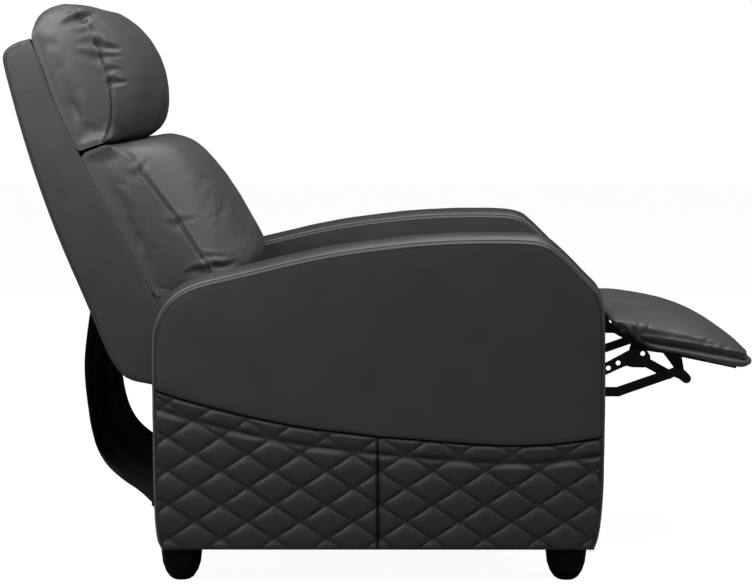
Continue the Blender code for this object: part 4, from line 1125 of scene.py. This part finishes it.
def tuck(item, shares):
    """Fill a back cushion's rounded rim out to the line where it meets its neighbours."""
    spots = coordinates(item.data)
    flat = np.column_stack([FRONT_Y - spots[:, 1], spots[:, 2]])
    best, _, nearest = nearest_on(flat, rounded(back_points(shares), 1))
    weight = np.clip(1 - best / TUCK_REACH, 0, 1)
    weight = weight * weight * (3 - 2 * weight)
    wide = np.abs(spots[:, 0])
    shoulder = TUCK_FLANK - TUCK_START
    ramp = (wide - TUCK_START) / shoulder * (TUCK_OUT - TUCK_FLANK)
    swell = np.where(wide < TUCK_FLANK, ramp, TUCK_OUT - wide)
    wide = wide + np.clip(swell, 0, None) * np.minimum(1.0, 1.6 * weight)
    pull = (nearest - flat) / np.maximum(best, 1e-9)[:, None]
    pull *= (np.minimum(best, TUCK_PULL) * np.clip(1 - best / TUCK_RANGE, 0, 1))[:, None]
    spots[:, 0] = np.sign(spots[:, 0]) * wide
    spots[:, 1] -= pull[:, 0]
    spots[:, 2] += pull[:, 1]
    set_coordinates(item.data, spots)


def seen_on(item, points):
    """The places on a piece that the camera, or its mirror image, sees through side-view points."""
    bpy.context.view_layer.update()
    tree = tree_of(item)
    out = []
    for point in points:
        eye = place(*CAMERA_SPOT)
        eye.x = math.copysign(eye.x, point.x)
        spot, _, _, _ = tree.ray_cast(eye, (point - eye).normalized())
        if spot:
            out.append(spot)
    return out


def draw_folds(item, table, across):
    """Folds on both sides of a cushion, from widths, depths and side-view points."""
    for _, side in SIDES:
        for width, depth, points in table:
            line = spaced(rounded(points), FOLD_STEP)
            path = seen_on(item, [place(p.x, p.y, side * across) for p in line])
            if len(path) > 2:
                press_fold(item, path, width, depth)


def back_folds(table):
    """A back cushion's folds with their shares worked out."""
    return [(width, depth, back_points(shares)) for width, depth, shares in table]


def side_seams(item, shares, name):
    """The sewn seams down both sides of a back cushion."""
    for word, side in SIDES:
        laid = seen_on(item, [place(p.x, p.y, side * CUSHION_SIDE) for p in back_line(shares)])
        double_seam(item, name + word, laid, "back")


class RECLINER_OT_headrest(bpy.types.Operator):
    """Stuff the headrest pillow, sew its side seams and draw in its creases"""
    bl_idname = "recliner.headrest"
    bl_label = "Headrest pillow"

    def execute(self, context):
        cloth = context.scene.recliner_cloth
        item = stuffed("headrest_pillow", "headrest_cushion", cloth.shrink, cloth.cap, "back")
        tuck(item, PILLOW_MEETING_SHARES)
        side_seams(item, PILLOW_SEAM_SHARES, "headrest_seam_stitches_")
        draw_folds(item, back_folds(PILLOW_FOLDS), CUSHION_SIDE)
        return {"FINISHED"}


class RECLINER_OT_lumbar(bpy.types.Operator):
    """Stuff the back cushion, sew its side seams and draw in its creases"""
    bl_idname = "recliner.lumbar"
    bl_label = "Back cushion"

    def execute(self, context):
        cloth = context.scene.recliner_cloth
        item = stuffed("lumbar_cushion", "back_cushion", cloth.shrink, cloth.cap, "back")
        tuck(item, LUMBAR_MEETING_SHARES)
        belly = [back_spot(*BELLY_SHARES, BELLY_SPAN * (1 - i / 10)) for i in range(21)]
        press_line(item, laid_on(item, belly), BELLY_WIDTH, -BELLY_SWELL, 0.0)
        side_seams(item, LUMBAR_SEAM_SHARES, "back_cushion_seam_stitches_")
        draw_folds(item, back_folds(LUMBAR_FOLDS), CUSHION_SIDE)
        return {"FINISHED"}


class RECLINER_OT_seat(bpy.types.Operator):
    """Stuff the seat cushion and sew its two channels"""
    bl_idname = "recliner.seat"
    bl_label = "Seat cushion"

    def execute(self, context):
        item = stuffed("seat_cushion", "seat_cushion_hide", 0.003, 0.006, "seat")
        low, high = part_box("seat_cushion")
        for word, side in SIDES:
            points = []
            for i in range(90):
                y = high[1] - 0.02 + (low[1] - high[1] + 0.03) * i / 89
                points.append(Vector((side * CHANNEL_SIDE, y, high[2] + 0.03)))
            double_seam(item, "seat_seam_stitches_" + word, laid_on(item, points), "seat")
        return {"FINISHED"}


class RECLINER_OT_footrest(bpy.types.Operator):
    """Stuff the footrest pad, draw in the crease over its lip and sew it"""
    bl_idname = "recliner.footrest"
    bl_label = "Footrest pad"

    def execute(self, context):
        item = stuffed("footrest_pad", "footrest_pad_hide", 0.0015, 0.004, "footrest")
        crease = spaced(rounded(PAD_CREASE), 0.005)
        left, right = [seen_on(item, [place(p.x, p.y, side * PAD_SIDE) for p in crease]) for _, side in SIDES]
        tree = tree_of(item)
        front = []
        for i in range(1, 40):
            start = Vector((PAD_NOSE_SPAN * (1 - i / 20), -1.0, PAD_NOSE_UP))
            front.append(tree.ray_cast(start, Vector((0, 1, 0)))[0])
        around = left + front + right[::-1]
        press_line(item, [p + Vector((0, 0, HOLLOW)) for p in around], HOLLOW, HOLLOW_DEPTH, 0.0)
        press_line(item, around, CREASE, CREASE_DEPTH)
        draw_folds(item, PAD_FOLDS, PAD_SIDE)
        row = laid_on(item, [p + Vector((0, 0, LIP_ROW)) for p in around], THREAD_LIFT)
        stitches("footrest_lip_stitches", [row], "footrest")
        return {"FINISHED"}


class RECLINER_OT_back(bpy.types.Operator):
    """Upholster the back shell: side panels, rear panel and its stitching"""
    bl_idname = "recliner.back"
    bl_label = "Back shell"

    def execute(self, context):
        rear = back_line(BACK_REAR_SHARES)
        seam = back_line(BACK_SEAM_SHARES)
        outline = [tuple(p) for p in rear + shifted(seam, -context.scene.recliner_cloth.lap)]
        for word, side in SIDES:
            item = rolled_panel("back_side_panel_" + word, outline, SHELL_SIDE, side, 1, SHELL_PANEL,
                                SHELL_ROLL, PANEL_CROWN, finish("hide"))
            fitted(item, "back", "back_side_cover_" + word)
            gusset = [tuple(p) for p in back_points(GUSSET_SHARES)]
            item = rolled_panel("back_gusset_" + word, gusset, SHELL_SIDE + THREAD_LIFT, side, 1, *GUSSET,
                                finish("soft"))
            fitted(item, "back")
            across = side * (SHELL_SIDE + SHELL_PANEL + 2 * THREAD_LIFT)
            row = [place(p.x, p.y, across) for p in shifted(rear, SHELL_ROW)[3:]]
            stitches("back_edge_stitches_" + word, [row], "back")
        rings = []
        inner = shifted(rear, REAR_DEPTH)
        half = SHELL_SIDE - 2 * BOXING_GAP
        for i, p in enumerate(rear):
            out = -leftward(rear, i)
            ring = []
            for s in range(25):
                share = s / 12 - 1
                swell = REAR_CROWN * (1 - abs(share) ** 6)
                near = [math.exp(-((share * half - at) / REAR_GROOVE) ** 2) for at in REAR_SEAMS]
                swell -= REAR_GROOVE_DEPTH * sum(near)
                spot = p + out * (swell - REAR_SINK)
                ring.append(place(spot.x, spot.y, share * half))
            rings.append(ring + [place(inner[i].x, inner[i].y, x) for x in (half, -half)])
        fitted(lofted("back_rear_panel", rings, finish("hide")), "back", "back_rear_cover")
        rows = [[place(p.x, p.y, at + way) for p in shifted(rear, -REAR_SINK)[4:-4]]
                for at in REAR_SEAMS for way in (-REAR_ROW, REAR_ROW)]
        stitches("back_rear_stitches", rows, "back")
        return {"FINISHED"}


class RECLINER_OT_curtain(bpy.types.Operator):
    """Hang the rear curtain from the back's lower edge to the curtain bar"""
    bl_idname = "recliner.curtain"
    bl_label = "Rear curtain"

    def execute(self, context):
        line = spaced(rounded(from_shares(CURTAIN_SHARES, CURTAIN_HEM, *CURTAIN_REACH)), BACK_STEP)
        half = CURTAIN_HALF
        columns, last = 60, len(line) - 1
        work = bmesh.new()
        verts = {}
        for face in (0, 1):
            for i, p in enumerate(line):
                out = -leftward(line, i)
                t = i / last
                for j in range(columns + 1):
                    share = 2 * j / columns - 1
                    swell = 0.010 * (1 - share * share) + 0.0035 * math.sin(share * 9.0 + 2.2 * t)
                    swell += 0.0015 * noise.noise(Vector((share * 5, t * 5, 1.0)))
                    swell *= math.sin(math.pi * t)
                    spot = p + out * (swell + (CURTAIN_SKIN if face else -CURTAIN_SKIN))
                    verts[face, i, j] = work.verts.new(place(spot.x, spot.y, share * half))
        quads = [[(k, i, j), (k, i, j + 1), (k, i + 1, j + 1), (k, i + 1, j)]
                 for i in range(last) for j in range(columns) for k in (0, 1)]
        quads += [[(0, i, j), (0, i + 1, j), (1, i + 1, j), (1, i, j)]
                  for i in range(last) for j in (0, columns)]
        quads += [[(0, i, j), (0, i, j + 1), (1, i, j + 1), (1, i, j)]
                  for j in range(columns) for i in (0, last)]
        for quad in quads:
            work.faces.new([verts[corner] for corner in quad])
        item = as_piece("rear_curtain_cloth", mesh_of(work, "rear_curtain_cloth"), finish("cloth"), 60)
        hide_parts("rear_curtain")
        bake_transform(item)
        return {"FINISHED"}


class RECLINER_OT_hardware(bpy.types.Operator):
    """Give every CAD solid its finish"""
    bl_idname = "recliner.hardware"
    bl_label = "Hardware"

    def execute(self, context):
        finishes = {
            "painted_steel": "steel", "spring_steel": "bright", "plywood": "plywood",
            "hardwood": "hardwood", "foot_plastic": "plastic", "leatherette": "hide",
            "quilted_leatherette": "quilt", "edge_leatherette": "edge", "curtain_cloth": "cloth",
        }
        for part in frame["record"]["subparts"]:
            item = frame["nodes"][part["node"]]
            item.data.materials.clear()
            faced = part["node"] in ("back_board", "footrest_board")
            item.data.materials.append(finish("faced" if faced else finishes[part["material_slot"]]))
        return {"FINISHED"}


def soft_light(name, spot, aim, size, power):
    data = bpy.data.lights.new(name, "AREA")
    data.shape = "RECTANGLE"
    data.size, data.size_y = size
    data.energy = power
    item = bpy.data.objects.new(name, data)
    item.location = spot
    item.rotation_euler = (Vector(aim) - Vector(spot)).to_track_quat("-Z", "Y").to_euler()
    bpy.context.scene.collection.objects.link(item)


def pale_floor():
    """A floor that the camera sees as nearly white, and that keeps the chair's shadow."""
    bpy.ops.mesh.primitive_plane_add(size=24)
    floor = bpy.context.active_object
    floor.name = "studio_floor"
    made = Finish("matt_white_floor", 0.9)
    made.inputs["Base Color"].default_value = (FLOOR_GREY, FLOOR_GREY, FLOOR_GREY, 1)
    made.inputs["Emission Color"].default_value = (1, 1, 1, 1)
    seen = add_node(made.tree, "ShaderNodeLightPath").outputs["Is Camera Ray"]
    made.tree.links.new(made.math("MULTIPLY", seen, FLOOR_LIFT), made.inputs["Emission Strength"])
    floor.data.materials.append(made.material)


def white_air(scene):
    """A world that the camera sees as white, and that lights the chair only a little."""
    world = bpy.data.worlds.new("studio_air")
    scene.world = world
    world.use_nodes = True
    tree = world.node_tree
    tree.nodes.clear()
    path = add_node(tree, "ShaderNodeLightPath")
    plain, white = [add_node(tree, "ShaderNodeBackground", {"Color": (1, 1, 1, 1), "Strength": strength})
                    for strength in (AIR_GLOW, 1.0)]
    both = add_node(tree, "ShaderNodeMixShader", {}, {0: path.outputs["Is Camera Ray"],
                                                     1: plain.outputs[0], 2: white.outputs[0]})
    add_node(tree, "ShaderNodeOutputWorld", {}, {"Surface": both.outputs[0]})


class RECLINER_OT_studio(bpy.types.Operator):
    """Lay the pale floor, hang the soft lights and stand the camera where the photo was taken"""
    bl_idname = "recliner.studio"
    bl_label = "Studio"

    def execute(self, context):
        scene = context.scene
        scene.view_settings.view_transform = "Standard"
        pale_floor()
        white_air(scene)
        soft_light("top_softbox", (-0.2, -0.2, 2.6), (0, -0.1, 0.5), (2.2, 1.6), 44)
        soft_light("rear_softbox", (-1.0, 0.9, 1.35), (-0.2, 0.55, 0.9), (0.6, 0.6), 10)
        soft_light("front_softbox", (-0.9, -0.9, 1.6), (-0.1, -0.5, 0.4), (0.8, 0.8), 5.5)
        data = bpy.data.cameras.new("photo_camera")
        data.sensor_width = SENSOR_MM
        data.lens = FOCAL_PIXELS / PHOTO_PIXELS * SENSOR_MM
        camera = bpy.data.objects.new("photo_camera", data)
        camera.location = place(*CAMERA_SPOT)
        pitch, yaw = math.radians(CAMERA_DOWN), math.radians(CAMERA_TURN)
        gaze = Vector((math.cos(pitch) * math.cos(yaw), math.sin(yaw) * math.cos(pitch), -math.sin(pitch)))
        camera.rotation_euler = gaze.to_track_quat("-Z", "Y").to_euler()
        scene.collection.objects.link(camera)
        scene.camera = camera
        return {"FINISHED"}


OPERATORS = (RECLINER_OT_studio, RECLINER_OT_hardware, RECLINER_OT_arms, RECLINER_OT_quilting,
             RECLINER_OT_back, RECLINER_OT_curtain, RECLINER_OT_headrest, RECLINER_OT_lumbar,
             RECLINER_OT_seat, RECLINER_OT_footrest)


class RECLINER_PT_panel(bpy.types.Panel):
    """Lists the steps that dress the recliner"""
    bl_idname = "RECLINER_PT_panel"
    bl_label = "Recliner"
    bl_space_type = "VIEW_3D"
    bl_region_type = "UI"
    bl_category = "Recliner"

    def draw(self, context):
        for step in OPERATORS:
            self.layout.operator(step.bl_idname)
        for group in ("recliner_arm", "recliner_quilt", "recliner_cloth", "recliner_colours"):
            box = self.layout.box()
            values = getattr(context.scene, group)
            for name in values.__annotations__:
                box.prop(values, name)


GROUPS = (("recliner_arm", ReclinerArmSettings), ("recliner_quilt", ReclinerQuiltSettings),
          ("recliner_cloth", ReclinerClothSettings), ("recliner_colours", ReclinerColours))


def register():
    for name, group in GROUPS:
        bpy.utils.register_class(group)
        setattr(bpy.types.Scene, name, bpy.props.PointerProperty(type=group))
    for step in OPERATORS:
        bpy.utils.register_class(step)
    bpy.utils.register_class(RECLINER_PT_panel)


def unregister():
    bpy.utils.unregister_class(RECLINER_PT_panel)
    for step in reversed(OPERATORS):
        bpy.utils.unregister_class(step)
    for name, group in reversed(GROUPS):
        delattr(bpy.types.Scene, name)
        bpy.utils.unregister_class(group)


def main():
    register()
    for step in OPERATORS:
        area, word = step.bl_idname.split(".")
        getattr(getattr(bpy.ops, area), word)()


if __name__ == "__main__":
    main()
